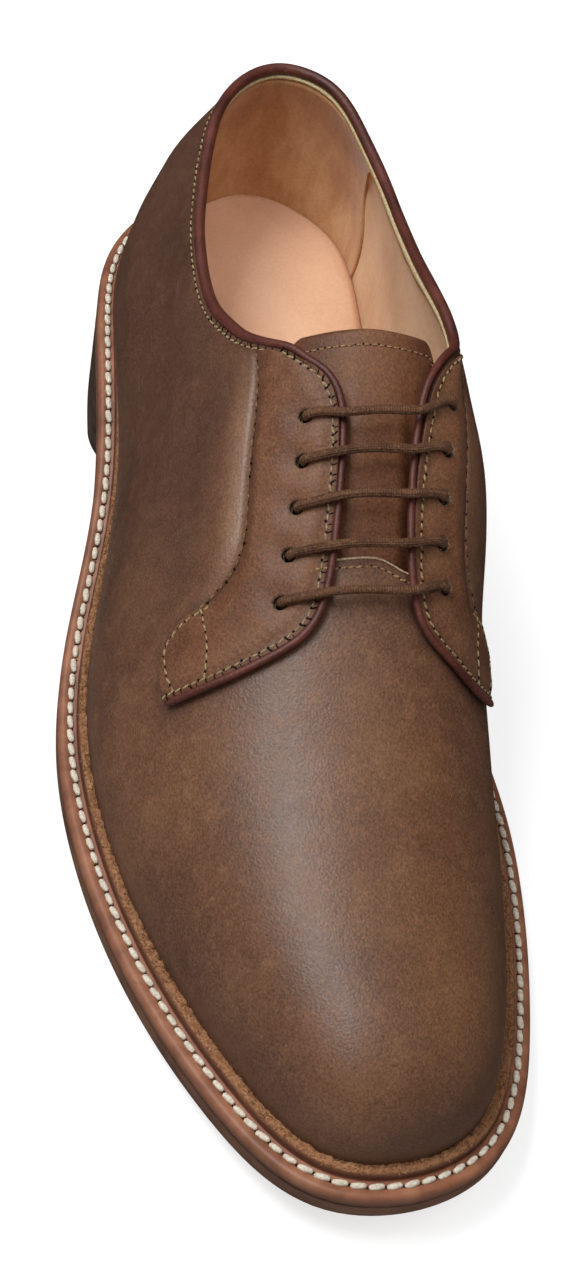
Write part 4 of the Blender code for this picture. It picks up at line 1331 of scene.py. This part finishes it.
def ring_faces(rings, sides, first=0):
    """Faces of a closed tube: quads between its rings of points, and a cap at each end."""
    faces = []
    for ring in range(rings - 1):
        low = first + ring * sides
        for k in range(sides):
            j = (k + 1) % sides
            faces.append((low + k, low + j, low + sides + j, low + sides + k))
    end = first + (rings - 1) * sides
    faces.append(tuple(range(first + sides - 1, first - 1, -1)))
    faces.append(tuple(range(end, end + sides)))
    return faces


def eyelet_punch(name):
    """Punch for the eyelets: round pins, flared where they leave the facing."""
    profile = ((-6.0, EYELET_RADIUS), (0.9, EYELET_RADIUS), (1.25, EYELET_RADIUS + 0.08),
               (1.6, EYELET_RADIUS + 0.3), (4.0, EYELET_RADIUS + 2.2))
    sides = 28
    angles = np.arange(sides) * 2 * np.pi / sides
    points, faces = [], []
    for number in range(EYELET_COUNT):
        along, rise = eyelet(name, number)
        turn = SIDES[name] * along
        centre = last(turn, rise)
        axis = slopes(turn, rise)[2]
        first = unit(np.cross(axis, (1.0, 0.0, 0.0)))
        second = np.cross(axis, first)
        start = len(points)
        for height, radius in profile:
            circle = np.cos(angles)[:, None] * first + np.sin(angles)[:, None] * second
            points.extend(centre + axis * height + circle * radius)
        faces.extend(ring_faces(len(profile), sides, start))
    return make_piece("eyelet_punch_" + name, np.array(points), faces, [eyelet_edge])


def punch_out(piece, tool):
    """Cuts the tool's holes and keeps the result as the piece's plain mesh."""
    cut_out = piece.modifiers.new("eyelets", "BOOLEAN")
    cut_out.operation = "DIFFERENCE"
    cut_out.solver = "EXACT"
    cut_out.material_mode = "TRANSFER"
    cut_out.object = tool
    shaped = piece.evaluated_get(bpy.context.evaluated_depsgraph_get())
    mesh = bpy.data.meshes.new_from_object(shaped)
    piece.modifiers.remove(cut_out)
    piece.data = mesh
    mesh.name = piece.name


dry_leather = waxed_leather("dry_leather", 0.03, 0.24, (0.95, 0.85, 0.86))
# The facing's edge walls are near black: painted shade for the shadow line along the facing's edge
painted_shade_edge = raw_cut("painted_shade_edge", (34, 20, 16), (62, 38, 30))
eyelet_edge = raw_cut("eyelet_edge", (64, 46, 36), (136, 114, 98))
facings = {}
for name in SIDES:
    facing = make_facing(name)
    tool = eyelet_punch(name)
    punch_out(facing, tool)
    punch_out(upper, tool)
    bpy.data.objects.remove(tool)
    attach(facing, "root")
    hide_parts("facing_" + name)
    facings[name] = facing

# Tongue
# A plain leather tongue under the facings, sewn in with the vamp and free at its arched top, where a row
# of stitches holds its lining. It swells a little between the lace's bars.
TONGUE_TOP = 0.426
TONGUE_SWEEP = 0.016
TONGUE_FRONT = 0.665
TONGUE_LIFT = spline(
    (TONGUE_TOP - TONGUE_SWEEP, 0.50, 0.56, 0.61, TONGUE_FRONT), (-5.2, -5.2, -5.2, -5.0, -2.4))
TONGUE_LENGTH = 60.0
TONGUE_REACH = 25.0
TONGUE_ROUND = 0.45
HEM_GROOVE = 0.12
HEM_SPREAD = 0.8
TONGUE_CROWN = 1.9
CROWN_ALONG = (0.44, 0.52, 0.59, 0.62)
CROWN_ACROSS = (0.22, 0.44)
TONGUE_HALF = 0.32
TONGUE_THICKNESS = 1.9
TONGUE_SWELL = 0.1
SWELL_ALONG = (0.455, 0.475, 0.60, 0.62)
SWELL_ACROSS = 0.45
TONGUE_HEM = 2.9
CORNER = 0.82
CORNER_DROP = 0.028
TONGUE_ROWS = 110
TONGUE_ACROSS = 81


def tongue_spots(back_share, across_share):
    """Turn and rise over the tongue: share from its arched top to its front, and from side to side."""
    spread = np.abs(across_share)
    corner = np.clip((spread - CORNER) / (1 - CORNER), 0, 1)
    start = TONGUE_TOP - TONGUE_SWEEP * spread**2 + CORNER_DROP * (1 - np.sqrt(1 - 0.98 * corner**2))
    along = start + (TONGUE_FRONT - start) * back_share
    return np.where(across_share < 0, -along, along), 1 - TONGUE_HALF * spread


back_share, across_share = np.meshgrid(
    np.linspace(0, 1, TONGUE_ROWS), np.linspace(-1, 1, TONGUE_ACROSS), indexing="ij"
)
tongue_turn, tongue_rise = tongue_spots(back_share, across_share)
tongue_along = np.abs(tongue_turn)
bar_phase = (tongue_along - EYELETS["lateral"]["first"]) / EYELETS["lateral"]["step"]
swell = -TONGUE_SWELL * np.cos(2 * np.pi * bar_phase) * within(tongue_along, *SWELL_ALONG)
swell *= hill(across_share, 0, SWELL_ACROSS)
crown = TONGUE_CROWN * within(tongue_along, *CROWN_ALONG)
swell += crown * (1 - smooth(np.abs(across_share), *CROWN_ACROSS))
border = np.minimum(back_share * TONGUE_LENGTH, (1 - np.abs(across_share)) * TONGUE_REACH)
tongue_edge = TONGUE_ROUND * np.clip(1 - border, 0, 1) ** 2
hem = HEM_GROOVE * hill(back_share * TONGUE_LENGTH, TONGUE_HEM, HEM_SPREAD)
tongue_lift = TONGUE_LIFT(tongue_along) + swell - tongue_edge - hem
tongue_top = skin(tongue_turn, tongue_rise, tongue_lift)
tongue_under = skin(tongue_turn, tongue_rise, TONGUE_LIFT(tongue_along) - TONGUE_THICKNESS + tongue_edge)
# Painted shade towards the tongue's sides and front, and a painted highlight down its middle near the top
tongue_shade = 0.5 * smooth(np.abs(across_share), 0.3, 0.7) + 0.1 * smooth(back_share, 0.2, 0.6)
tongue_highlight = 0.6 * hill(across_share, 0, 0.4) * (1 - smooth(back_share, 0.1, 0.35))
red_leather = waxed_leather("red_leather", 0.02, 0.22, (1.0, 0.84, 0.80))
tongue_values = {"shade_and_burnish": np.clip(tongue_shade, 0, 1), "rub_and_highlight": tongue_highlight}
tongue = make_slab(
    "tongue_leather", tongue_top, tongue_under, [red_leather, tan_lining], tongue_values, (0, 1, 0))
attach(tongue, "root")
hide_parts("tongue")

# Binding
# A narrow strip of polished red-brown leather, folded over a cord and sewn round the edge. It runs as one
# bead from tab to tab: up each facing and round the collar.
FACING_BEAD = 0.92
COLLAR_BEAD = 1.45
BEAD_OVERLAP = 0.12
BEAD_SIDES = 18
BEAD_STEP = 1.1
COLLAR_END = 0.43
CLIMB_START = 0.38
COLLAR_CLIMB = 0.5


def edge_run(name):
    """Turn, rise and lift along one side's bound edge, from the tab tip up and round to the heel."""
    _, edge_at, height_at = facing_curves(name)
    rungs = np.linspace(LAST_RUNG, 0.5, 60)
    edges = edge_at(rungs)
    along = np.linspace(COLLAR_END, 0.0, 60)
    climb = np.clip((along - CLIMB_START) / (COLLAR_END - CLIMB_START), 0, 1)
    side = SIDES[name]
    turn = side * np.concatenate([edges[:, 0], along])
    rise = np.concatenate([edges[:, 1], CUT[side](along)])
    lift = np.concatenate([height_at(rungs), -WALL / 2 + COLLAR_CLIMB * climb])
    return np.stack([turn, rise, lift], -1)


def resample(points, spacing):
    """Points at an even spacing along a smooth line through the given ones."""
    points = np.asarray(points, float)
    knots = run_along(points[:, :3])
    count = max(int(round(knots[-1] / spacing)), 2)
    return spline(knots, points)(np.linspace(0, knots[-1], count + 1))


def tube(name, centres, ups, radius, sides, material):
    """Cord along a line: a round section held square to the given directions, with rounded ends."""
    ahead = unit(np.gradient(centres, axis=0))
    beyond = unit(np.cross(ahead, ups))
    ups = np.cross(beyond, ahead)
    run = run_along(centres)
    near_end = np.minimum(run, run[-1] - run)
    fullness = np.sqrt(np.clip(1 - (1 - np.clip(near_end / radius.max(), 0, 1)) ** 2, 0.02, 1))
    radius = (radius * fullness)[:, None, None]
    angles = np.arange(sides) * 2 * np.pi / sides
    ring = (np.cos(angles)[None, :, None] * beyond[:, None] * radius
            + np.sin(angles)[None, :, None] * ups[:, None] * radius)
    points = (centres[:, None] + ring).reshape(-1, 3)
    values = {"run": np.repeat(run, sides), "around": np.tile(np.cos(angles), len(centres))}
    return make_piece(name, points, ring_faces(len(centres), sides), [material], values)


def polished_binding():
    """Red-brown glazed leather with a fine grain and pale scuffs."""
    material, tree, shader, where = new_finish("polished_binding", Coat_Weight=0.12, Coat_Roughness=0.42)
    clouds = noise(tree, where, 12.0, 5.0, 0.6)
    colour = ramp(tree, clouds, ((0.3, (66, 31, 24)), (0.55, (90, 43, 33)), (0.8, (112, 58, 45))))
    grain = noise(tree, where, 0.9, 4.0, 0.65)
    colour = mix(tree, between(tree, grain, 0.4, 0.0, 0.3, 0.5), colour, srgb(44, 18, 13))
    scuffs = noise(tree, where, 3.2, 4.0, 0.7)
    colour = mix(tree, between(tree, scuffs, 0.0, 0.4, 0.6, 0.75), colour, srgb(136, 74, 56))
    normal = emboss(tree, grain, 0.2, 1.0, emboss(tree, scuffs, 0.3, 0.6))
    join(tree, shader, colour, between(tree, clouds, 0.44, 0.6), normal)
    return material


lateral_run, medial_run = edge_run("lateral"), edge_run("medial")
bead_run = np.concatenate([lateral_run, medial_run[:-1][::-1]])
bead_edge = last(bead_run[:, 0], bead_run[:, 1])
bead_normals = slopes(bead_run[:, 0], bead_run[:, 1])[2]
bead_beyond = unit(np.cross(np.gradient(bead_edge, axis=0), bead_normals))
bead_size = COLLAR_BEAD + (FACING_BEAD - COLLAR_BEAD) * smooth(np.abs(bead_run[:, 0]), 0.38, 0.46)
bead_line = bead_edge + bead_normals * bead_run[:, 2:] + bead_beyond * (bead_size - BEAD_OVERLAP)[:, None]
bead = resample(np.concatenate([bead_line, bead_normals, bead_run, bead_size[:, None]], 1), BEAD_STEP)
bead_length = np.arange(len(bead)) * BEAD_STEP
bead_radius = bead[:, 9] * (1 + 0.03 * np.sin(bead_length / 5.3) * np.sin(bead_length / 17.0))
tip_taper = smooth(np.minimum(bead_length, bead_length[-1] - bead_length), -3.0, 4.0)
bead_radius = bead_radius * tip_taper
binding = tube("binding_bead", bead[:, :3], bead[:, 3:6], bead_radius, BEAD_SIDES, polished_binding())
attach(binding, "root")
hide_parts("binding")

# Sewing of the upper
# Fine olive tan thread: a row inside the bound edge, one along each seam, a box on each tab, and a row along
# the tongue's top and the vamp's edge. The needle holes, pulled to slits on the lateral edge, are dark marks
# of painted shade.
FINE_PITCH = 2.25
FINE_STITCH = {"Length": 1.65, "Width": 0.52, "Height": 0.42, "Slant": 0.15, "Unevenness": 0.15}
HEM_STITCH = {"Length": 1.35, "Width": 0.5, "Height": 0.4, "Slant": 0.1, "Unevenness": 0.2}
NEEDLE_HOLE = {"Length": 0.55, "Width": 0.55, "Height": 0.3, "Shift": 0.5, "Slant": 0.0, "Unevenness": 0.25}
HEM_HOLE = {"Length": 0.4, "Width": 0.42, "Height": 0.25, "Shift": 0.5, "Slant": 0.0, "Unevenness": 0.25}
NEEDLE_SLIT = {"Length": 0.36, "Width": 1.35, "Height": 0.3, "Shift": 0.5, "Slant": 0.45, "Unevenness": 0.3}
SLIT_ASIDE = -0.75
HEM_PITCH = 1.75
SEAM_PITCH = 3.1
TAB_ROW = 1.2
FACING_ROW = {"lateral": 1.35, "medial": 1.65}
COLLAR_ROW = 1.0
THREAD_SEAT = 0.02
REACH_ABOVE = 7.0
REACH_DOWN = 16.0
SEAM_SEAT = -0.05


def leather_tree(pieces):
    """Search tree over the outer faces of finished pieces."""
    vertices, polygons = [], []
    for piece in pieces:
        first = len(vertices)
        vertices.extend(vertex.co.copy() for vertex in piece.data.vertices)
        polygons.extend([first + v for v in face.vertices] for face in piece.data.polygons)
    return BVHTree.FromPolygons(vertices, polygons)


def settle(leather, turn, rise, start_lift=REACH_ABOVE, seat=THREAD_SEAT):
    """Lays a line of turns and rises on the leather: points and normals in millimetres."""
    normals = slopes(turn, rise)[2]
    starts = place(skin(turn, rise, start_lift))
    points, ups = [], []
    for start, normal in zip(starts, upright(normals)):
        spot, up, _, _ = leather.ray_cast(Vector(start), -Vector(normal), REACH_DOWN * MM)
        if spot is None:
            continue
        up = Vector(normal).slerp(up, 0.7) if up.dot(Vector(normal)) > 0.2 else Vector(normal)
        spot = spot + up * seat * MM
        points.append((MIDDLE[0] - spot.y / MM, spot.x / MM + MIDDLE[1], spot.z / MM))
        ups.append((-up.y, up.x, up.z))
    return np.array(points), np.array(ups), False


def inside_line(run, distance):
    """Turns and rises moved in from a run of turns and rises by a distance over the leather."""
    turn, rise = run[:, 0], run[:, 1]
    ahead, upward, normal = slopes(turn, rise)
    along = np.gradient(last(turn, rise), axis=0)
    inward = -np.cross(along, normal)
    inward *= (distance / np.linalg.norm(inward, axis=1))[:, None]
    frame_axes = np.stack([ahead, upward], -1)
    steps = np.array([np.linalg.lstsq(axes, step, rcond=None)[0] for axes, step in zip(frame_axes, inward)])
    return turn + steps[:, 0], rise + steps[:, 1]


leather = leather_tree([upper, *facings.values()])
dense_run = bead[:, 6:8]
plain_rows, seam_rows, hem_rows = [], [], []
row_along = np.abs(dense_run[:, 0])
facing_row = np.where(dense_run[:, 0] < 0, FACING_ROW["lateral"], FACING_ROW["medial"])
row_inset = facing_row + (TAB_ROW - facing_row) * smooth(row_along, 0.56, 0.62)
row_inset += (COLLAR_ROW - facing_row) * (1 - smooth(row_along, 0.43, 0.475))
lateral_edge = (dense_run[:, 0] < 0) & (row_along > 0.36)
slit_row = settle(leather, *inside_line(dense_run[lateral_edge], row_inset[lateral_edge]))
plain_rows.append(slit_row)
plain_rows.append(settle(leather, *inside_line(dense_run[~lateral_edge], row_inset[~lateral_edge])))

# The box on a tab: along its top and outer edges, and an inner row from the seam to the bound edge
BOX_INSET = 1.6
BOX_END = LAST_RUNG - 0.26
INNER_ROW = (6.15, 7.1)
for name in SIDES:
    rung = np.linspace(0.2, TAB_START, 90)
    seam_turn, seam_up = facing_spots(name, rung, np.zeros_like(rung))
    seam_rows.append(settle(leather, seam_turn, seam_up, seat=SEAM_SEAT))
    tab = np.linspace(TAB_START, BOX_END, 30)
    top_turn, top_rise = facing_spots(name, tab, BOX_INSET / facing_width(name, tab))
    share = np.linspace(BOX_INSET / facing_width(name, tab)[-1], 0.86, 24)[1:]
    end_turn, end_rise = facing_spots(name, np.full_like(share, BOX_END), share)
    box_turn, box_rise = np.concatenate([top_turn, end_turn]), np.concatenate([top_rise, end_rise])
    plain_rows.append(settle(leather, box_turn, box_rise))
    inner_spots = facing_spots(name, np.linspace(*INNER_ROW, 30), np.linspace(0.08, 0.9, 30))
    plain_rows.append(settle(leather, *inner_spots))

# The vamp's row lies this far from its edge, at about 300 mm to a turn
VAMP_ROW = 1.9
TURN_LENGTH = 300.0
arch_across = np.linspace(-1, 1, 61)
arch_rise = 1 - 0.13 * np.abs(arch_across)
arch_turn = np.sign(arch_across + 1e-9) * (VAMP_EDGE + VAMP_ROW / TURN_LENGTH)
hem_rows.append(settle(leather, arch_turn + arch_shift(arch_turn, arch_rise), arch_rise))
tongue_leather = leather_tree([tongue])
hem_across = np.linspace(-0.93, 0.93, 90)
hem_turn, hem_rise = tongue_spots(np.full_like(hem_across, TONGUE_HEM / TONGUE_LENGTH), hem_across)
hem_rows.append(settle(tongue_leather, hem_turn, hem_rise, start_lift=-2.0))

olive_thread = thread("olive_thread", (100, 82, 52), (164, 144, 102), 0.5)
brown_thread = thread("brown_thread", (104, 74, 48), (168, 130, 90), 0.5)
seam_thread = thread("seam_thread", (72, 50, 34), (134, 102, 70), 0.5)
needle_hole = pit("needle_hole", (40, 24, 19))
sewn = (
    sew("edge_stitches", plain_rows, FINE_PITCH, FINE_STITCH, olive_thread, 5),
    # Slits and needle holes are dark marks of painted shade
    sew("edge_slits", [slit_row], FINE_PITCH, {**NEEDLE_SLIT, "Aside": SLIT_ASIDE}, needle_hole, 6),
    sew("row_holes", plain_rows, FINE_PITCH, NEEDLE_HOLE, needle_hole, 7),
    sew("hem_stitches", hem_rows, HEM_PITCH, HEM_STITCH, brown_thread, 8),
    sew("hem_holes", hem_rows, HEM_PITCH, HEM_HOLE, needle_hole, 9),
    sew("seam_stitches", seam_rows, SEAM_PITCH, HEM_STITCH, seam_thread, 10),
    sew("seam_holes", seam_rows, SEAM_PITCH, NEEDLE_HOLE, needle_hole, 11),
)
for piece in sewn:
    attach(piece, "root")

# Lace
# A round waxed cotton lace, straight across in five bars. It runs up inside between the bars, and its
# ends go down behind the top eyelets, so that no bow shows.
LACE_RADIUS = 1.08
LACE_SIDES = 16
LACE_STEP = 0.8

# Bars in the order that the lace makes them, each from one side to the other, then the hidden run inside
# to the next bar with its sidestep as a share of the rise
LACE_RUNS = (
    (0, "medial", 0.045),
    (2, "lateral", 0.045),
    (4, "medial", 0.0),
    (3, "lateral", -0.045),
    (1, "medial", -0.045),
)
OTHER_SIDE = {"lateral": "medial", "medial": "lateral"}
UNDER_LIFT = -3.6
HOLE_TOP_LIFT = 1.9
BAR_LIFT = 2.85
OVER_BEAD = 3.2
BAR_BOWS = (0.011, 0.004, 0.002, 0.004, 0.005)
BEAD_PAST_EDGE = 0.013
BEAD_CLEARANCE = 2.4
MIDDLE_DROP = 0.5


def over_bead(name, along):
    """Rise and lift of the lace's middle where it lies over the binding."""
    table = np.array(FACINGS[name])[:6]
    rise = float(np.interp(along, table[:, 2], table[:, 3])) + BEAD_PAST_EDGE
    lift = float(np.interp(along, table[:, 2], table[:, 4])) + BEAD_CLEARANCE
    return rise, max(lift, OVER_BEAD)


def bar_spots(number, start):
    """One bar from the hole on the start side, over both beads, to the hole on the other side."""
    end = OTHER_SIDE[start]
    (along_a, rise_a), (along_b, rise_b) = eyelet(start, number), eyelet(end, number)
    side_a, side_b = SIDES[start], SIDES[end]

    def across_to(share):
        return along_a + (along_b - along_a) * share + BAR_BOWS[number] * math.sin(math.pi * share)

    climb = ((0.0, UNDER_LIFT), (0.003, 0.0), (0.006, HOLE_TOP_LIFT), (0.016, 2.6), (0.036, BAR_LIFT))
    spots = [(side_a * across_to(step), rise_a + step, lift) for step, lift in climb]
    bead_a, bead_b = over_bead(start, across_to(0.3)), over_bead(end, across_to(0.7))
    spots.append((side_a * across_to(0.3), *bead_a))
    spots.append((side_a * across_to(0.5), 1.0, (bead_a[1] + bead_b[1]) / 2 - MIDDLE_DROP))
    spots.append((side_b * across_to(0.7), *bead_b))
    spots.extend((side_b * across_to(1 - step), rise_b + step, lift) for step, lift in reversed(climb))
    return spots


def hidden_run(name, first, second, sidestep):
    """Run under the facing from one eyelet to another, stepped aside of those between."""
    start, end = np.array(eyelet(name, first)), np.array(eyelet(name, second))
    spots = []
    for share in (0.2, 0.5, 0.8):
        along, rise = start + (end - start) * share
        spots.append((SIDES[name] * along, rise + sidestep, UNDER_LIFT))
    return spots


def waxed_lace():
    """Round braid: strands that cross at a slant, filled with brown wax."""
    material, tree, shader, where = new_finish("waxed_lace", Specular_IOR_Level=0.3)
    run = point_value(tree, "run")
    around = point_value(tree, "around")
    tilt = maths(tree, "MULTIPLY", around, 1.3)
    strands = []
    for direction in ("ADD", "SUBTRACT"):
        phase = maths(tree, "MULTIPLY", maths(tree, direction, run, tilt), 5.2)
        strands.append(maths(tree, "SINE", phase))
    weave = maths(tree, "MULTIPLY", *strands)
    fuzz = noise(tree, where, 0.7, 4.0, 0.7)
    clouds = noise(tree, where, 7.0, 4.0)
    colour = ramp(tree, clouds, ((0.3, (76, 48, 33)), (0.6, (102, 68, 46)), (0.8, (124, 88, 62))))
    colour = mix(tree, between(tree, weave, 0.4, 0.0, -0.8, 0.4), colour, srgb(56, 36, 23))
    colour = mix(tree, between(tree, fuzz, 0.0, 0.7, 0.5, 0.7), colour, srgb(142, 104, 76))
    normal = emboss(tree, fuzz, 0.22, 0.9, emboss(tree, weave, 0.16, 0.8))
    join(tree, shader, colour, between(tree, fuzz, 0.58, 0.75), normal)
    return material


lace_spots = []
for index, (number, start, sidestep) in enumerate(LACE_RUNS):
    end = OTHER_SIDE[start]
    lace_spots.extend(bar_spots(number, start))
    if index + 1 < len(LACE_RUNS):
        lace_spots.extend(hidden_run(end, number, LACE_RUNS[index + 1][0], sidestep))
lace_spots = np.array(lace_spots)
lace_line = resample(skin(lace_spots[:, 0], lace_spots[:, 1], lace_spots[:, 2]), LACE_STEP)
lace_length = np.arange(len(lace_line)) * LACE_STEP
lace_girth = LACE_RADIUS * (1 + 0.05 * np.sin(lace_length / 4.1) * np.sin(lace_length / 13.0 + 1))


def carried_ups(line, first):
    """Directions across a line, carried along it without twist."""
    ups = []
    up = np.asarray(first, float)
    for step in unit(np.gradient(line, axis=0)):
        up = unit(up - step * np.dot(up, step))
        ups.append(up)
    return np.array(ups)


lace_ups = carried_ups(lace_line, (1.0, 0.3, 0.2))
lace = tube("lace_cord", lace_line, lace_ups, lace_girth, LACE_SIDES, waxed_lace())
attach(lace, "root")
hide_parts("lace")

# Lining at the collar
# The lining's pale cut edge shows as a thin line inside the binding. At the heel a pocket of the same calf,
# flesh side out, is sewn over the lining, with a curved front edge.
RIBBON_END = 0.435
RIBBON_DEPTH = spline((-RIBBON_END, -0.2, 0.0, 0.1, 0.25, RIBBON_END), (1.0, 0.9, 0.9, 1.4, 2.1, 2.2))
RIBBON_LIFT = -WALL - 0.75
RIBBON_SECTION = ((-0.3, 0.8), (0.1, 0.0), (0.85, 0.0), (1.0, 0.8))
RAGGED = 0.22
collar_turn = np.linspace(-RIBBON_END, RIBBON_END, 260)
ribbon_rows = []
rise_per_mm = 1 / np.linalg.norm(slopes(collar_turn, cut_rise(collar_turn))[1], axis=-1)
ribbon_line = cut_rise(collar_turn)
ragged = np.random.default_rng(5).normal(0, RAGGED, len(collar_turn) + 2)
ragged = np.convolve(ragged, (0.3, 0.4, 0.3), "valid")
ribbon_depth = RIBBON_DEPTH(collar_turn) * (1 + ragged)
for share, lift in RIBBON_SECTION:
    rise = ribbon_line - share * ribbon_depth * rise_per_mm
    ribbon_rows.append(skin(collar_turn, rise, RIBBON_LIFT + lift))
ribbon_faces = ring_faces(len(collar_turn), len(RIBBON_SECTION))
lining_cut = raw_cut("lining_cut", (184, 160, 116), (228, 212, 170))
lining_edge = make_piece("lining_edge", np.stack(ribbon_rows, 1), ribbon_faces, [lining_cut])
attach(lining_edge, "root")

POCKET_REACH = spline((0.0, 0.2, 0.35, 0.5, 0.75, 1.0), (0.140, 0.142, 0.138, 0.129, 0.136, 0.164))
POCKET_LIFT = -WALL - 0.7
POCKET_FOOT = 0.02
POCKET_DROP = 0.0126
pocket_up = np.linspace(0, 1, 26)
pocket_across = np.linspace(-1, 1, 120)
pocket_turn = POCKET_REACH(pocket_up)[:, None] * pocket_across[None]
pocket_rise = POCKET_FOOT + (cut_rise(pocket_turn) - POCKET_DROP - POCKET_FOOT) * pocket_up[:, None]
pocket_top = skin(pocket_turn, pocket_rise, POCKET_LIFT)
pocket_back = skin(pocket_turn, pocket_rise, -WALL + 0.3)


def napped_pocket():
    """Flesh side of calf: brushed nap in tan, darker and lighter where it was stroked."""
    material, tree, shader, where = new_finish("napped_pocket", Specular_IOR_Level=0.15, Sheen_Weight=0.25)
    strokes = noise(tree, stretched(tree, where, (1.0, 1.0, 0.45)), 16.0, 6.0, 0.65)
    colour = ramp(tree, strokes, ((0.3, (152, 100, 62)), (0.52, (198, 145, 97)), (0.74, (230, 188, 140))))
    nap = noise(tree, where, 0.7, 4.0, 0.7)
    colour = mix(tree, 0.25, colour, ramp(tree, nap, ((0.3, (110, 70, 42)), (0.7, (220, 180, 138)))))
    join(tree, shader, colour, between(tree, nap, 0.85, 1.0), emboss(tree, nap, 0.16, 0.7))
    return material


pocket = make_slab("heel_pocket", pocket_top, pocket_back, [napped_pocket()])
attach(pocket, "root")

# Stage
# A plain pale floor that glows a little under a dim even sky. A wide key light over the lateral side
# gives the gloss; the sky, a broad fill in front and a small light into the heel show in no reflection.
FLOOR_SIZE = 8.0


def pale_floor():
    """Matt grey white that glows a little."""
    material, tree, shader, where = new_finish(
        "pale_floor", Specular_IOR_Level=0.0, Emission_Color=(1.0, 1.0, 1.0, 1.0), Emission_Strength=0.7)
    tone = noise(tree, where, 900.0, 2.0)
    share = between(tree, tone, 0.0, 1.0, 0.2, 0.8)
    colour = mix(tree, share, (0.46, 0.465, 0.465, 1.0), (0.48, 0.485, 0.485, 1.0))
    join(tree, shader, colour, between(tree, tone, 0.85, 0.9))
    return material


half_floor = FLOOR_SIZE / 2
floor_mesh = bpy.data.meshes.new("floor")
floor_corners = [(x * half_floor, y * half_floor, 0) for x, y in ((-1, -1), (1, -1), (1, 1), (-1, 1))]
floor_mesh.from_pydata(floor_corners, [], [(0, 1, 2, 3)])
floor_mesh.materials.append(pale_floor())
floor = new_object("floor", floor_mesh)
floor.visible_glossy = False


def soft_light(name, place_m, target_m, width, length, power, in_reflections, spread=180.0):
    """Rectangular light aimed at a target, in metres and watts, with its spread in degrees."""
    light = bpy.data.lights.new(name, "AREA")
    light.shape = "RECTANGLE"
    light.size = width
    light.size_y = length
    light.energy = power
    light.spread = math.radians(spread)
    lamp = new_object(name, light)
    lamp.location = place_m
    aim = Vector(target_m) - Vector(place_m)
    lamp.rotation_euler = aim.to_track_quat("-Z", "Y").to_euler()
    lamp.visible_glossy = in_reflections


soft_light("key", (-0.67, 0.10, 1.38), (0.0, -0.03, 0.0), 0.95, 0.55, 19.7, True)
soft_light("fill", (0.2, -0.5, 1.5), (0.0, 0.0, 0.0), 1.1, 0.9, 7.8, False)
soft_light("inside", (0.0, 0.05, 0.62), (-0.008, 0.102, 0.05), 0.05, 0.05, 0.003, False, 14.0)
sky = bpy.data.worlds.new("even_sky")
sky.use_nodes = True
sky.node_tree.nodes["Background"].inputs["Color"].default_value = (1.0, 1.0, 1.0, 1.0)
sky.node_tree.nodes["Background"].inputs["Strength"].default_value = 0.14
bpy.context.scene.world = sky
sky.cycles_visibility.glossy = False
bpy.context.scene.view_settings.view_transform = "Standard"

# Camera
# It looks down on the toe from in front, a little to the lateral side, and is rolled as the photo is.
PHOTO_HEIGHT = 1280
FOCAL_PIXELS = 2562.9
SENSOR = 36.0
CAMERA_TARGET = (162.11, 0.65, 30.0)
CAMERA_DISTANCE = 623.3
CAMERA_AZIMUTH = math.radians(-17.67)
CAMERA_ELEVATION = math.radians(48.04)
CAMERA_ROLL = math.radians(16.1)

back = Vector((
    math.sin(CAMERA_AZIMUTH) * math.cos(CAMERA_ELEVATION),
    -math.cos(CAMERA_AZIMUTH) * math.cos(CAMERA_ELEVATION),
    math.sin(CAMERA_ELEVATION),
))
level_right = (-back).cross(Vector((0, 0, 1))).normalized()
level_up = level_right.cross(-back)
camera_right = math.cos(CAMERA_ROLL) * level_right + math.sin(CAMERA_ROLL) * level_up
camera_up = -math.sin(CAMERA_ROLL) * level_right + math.cos(CAMERA_ROLL) * level_up
camera_data = bpy.data.cameras.new("camera")
camera_data.sensor_width = SENSOR
camera_data.lens = FOCAL_PIXELS * SENSOR / PHOTO_HEIGHT
camera_data.clip_start = 0.01
camera = new_object("camera", camera_data)
turned = Matrix((camera_right, camera_up, back)).transposed().to_4x4()
camera_place = Vector(place(CAMERA_TARGET)[0]) + back * CAMERA_DISTANCE * MM
camera.matrix_world = Matrix.Translation(camera_place) @ turned
bpy.context.scene.camera = camera
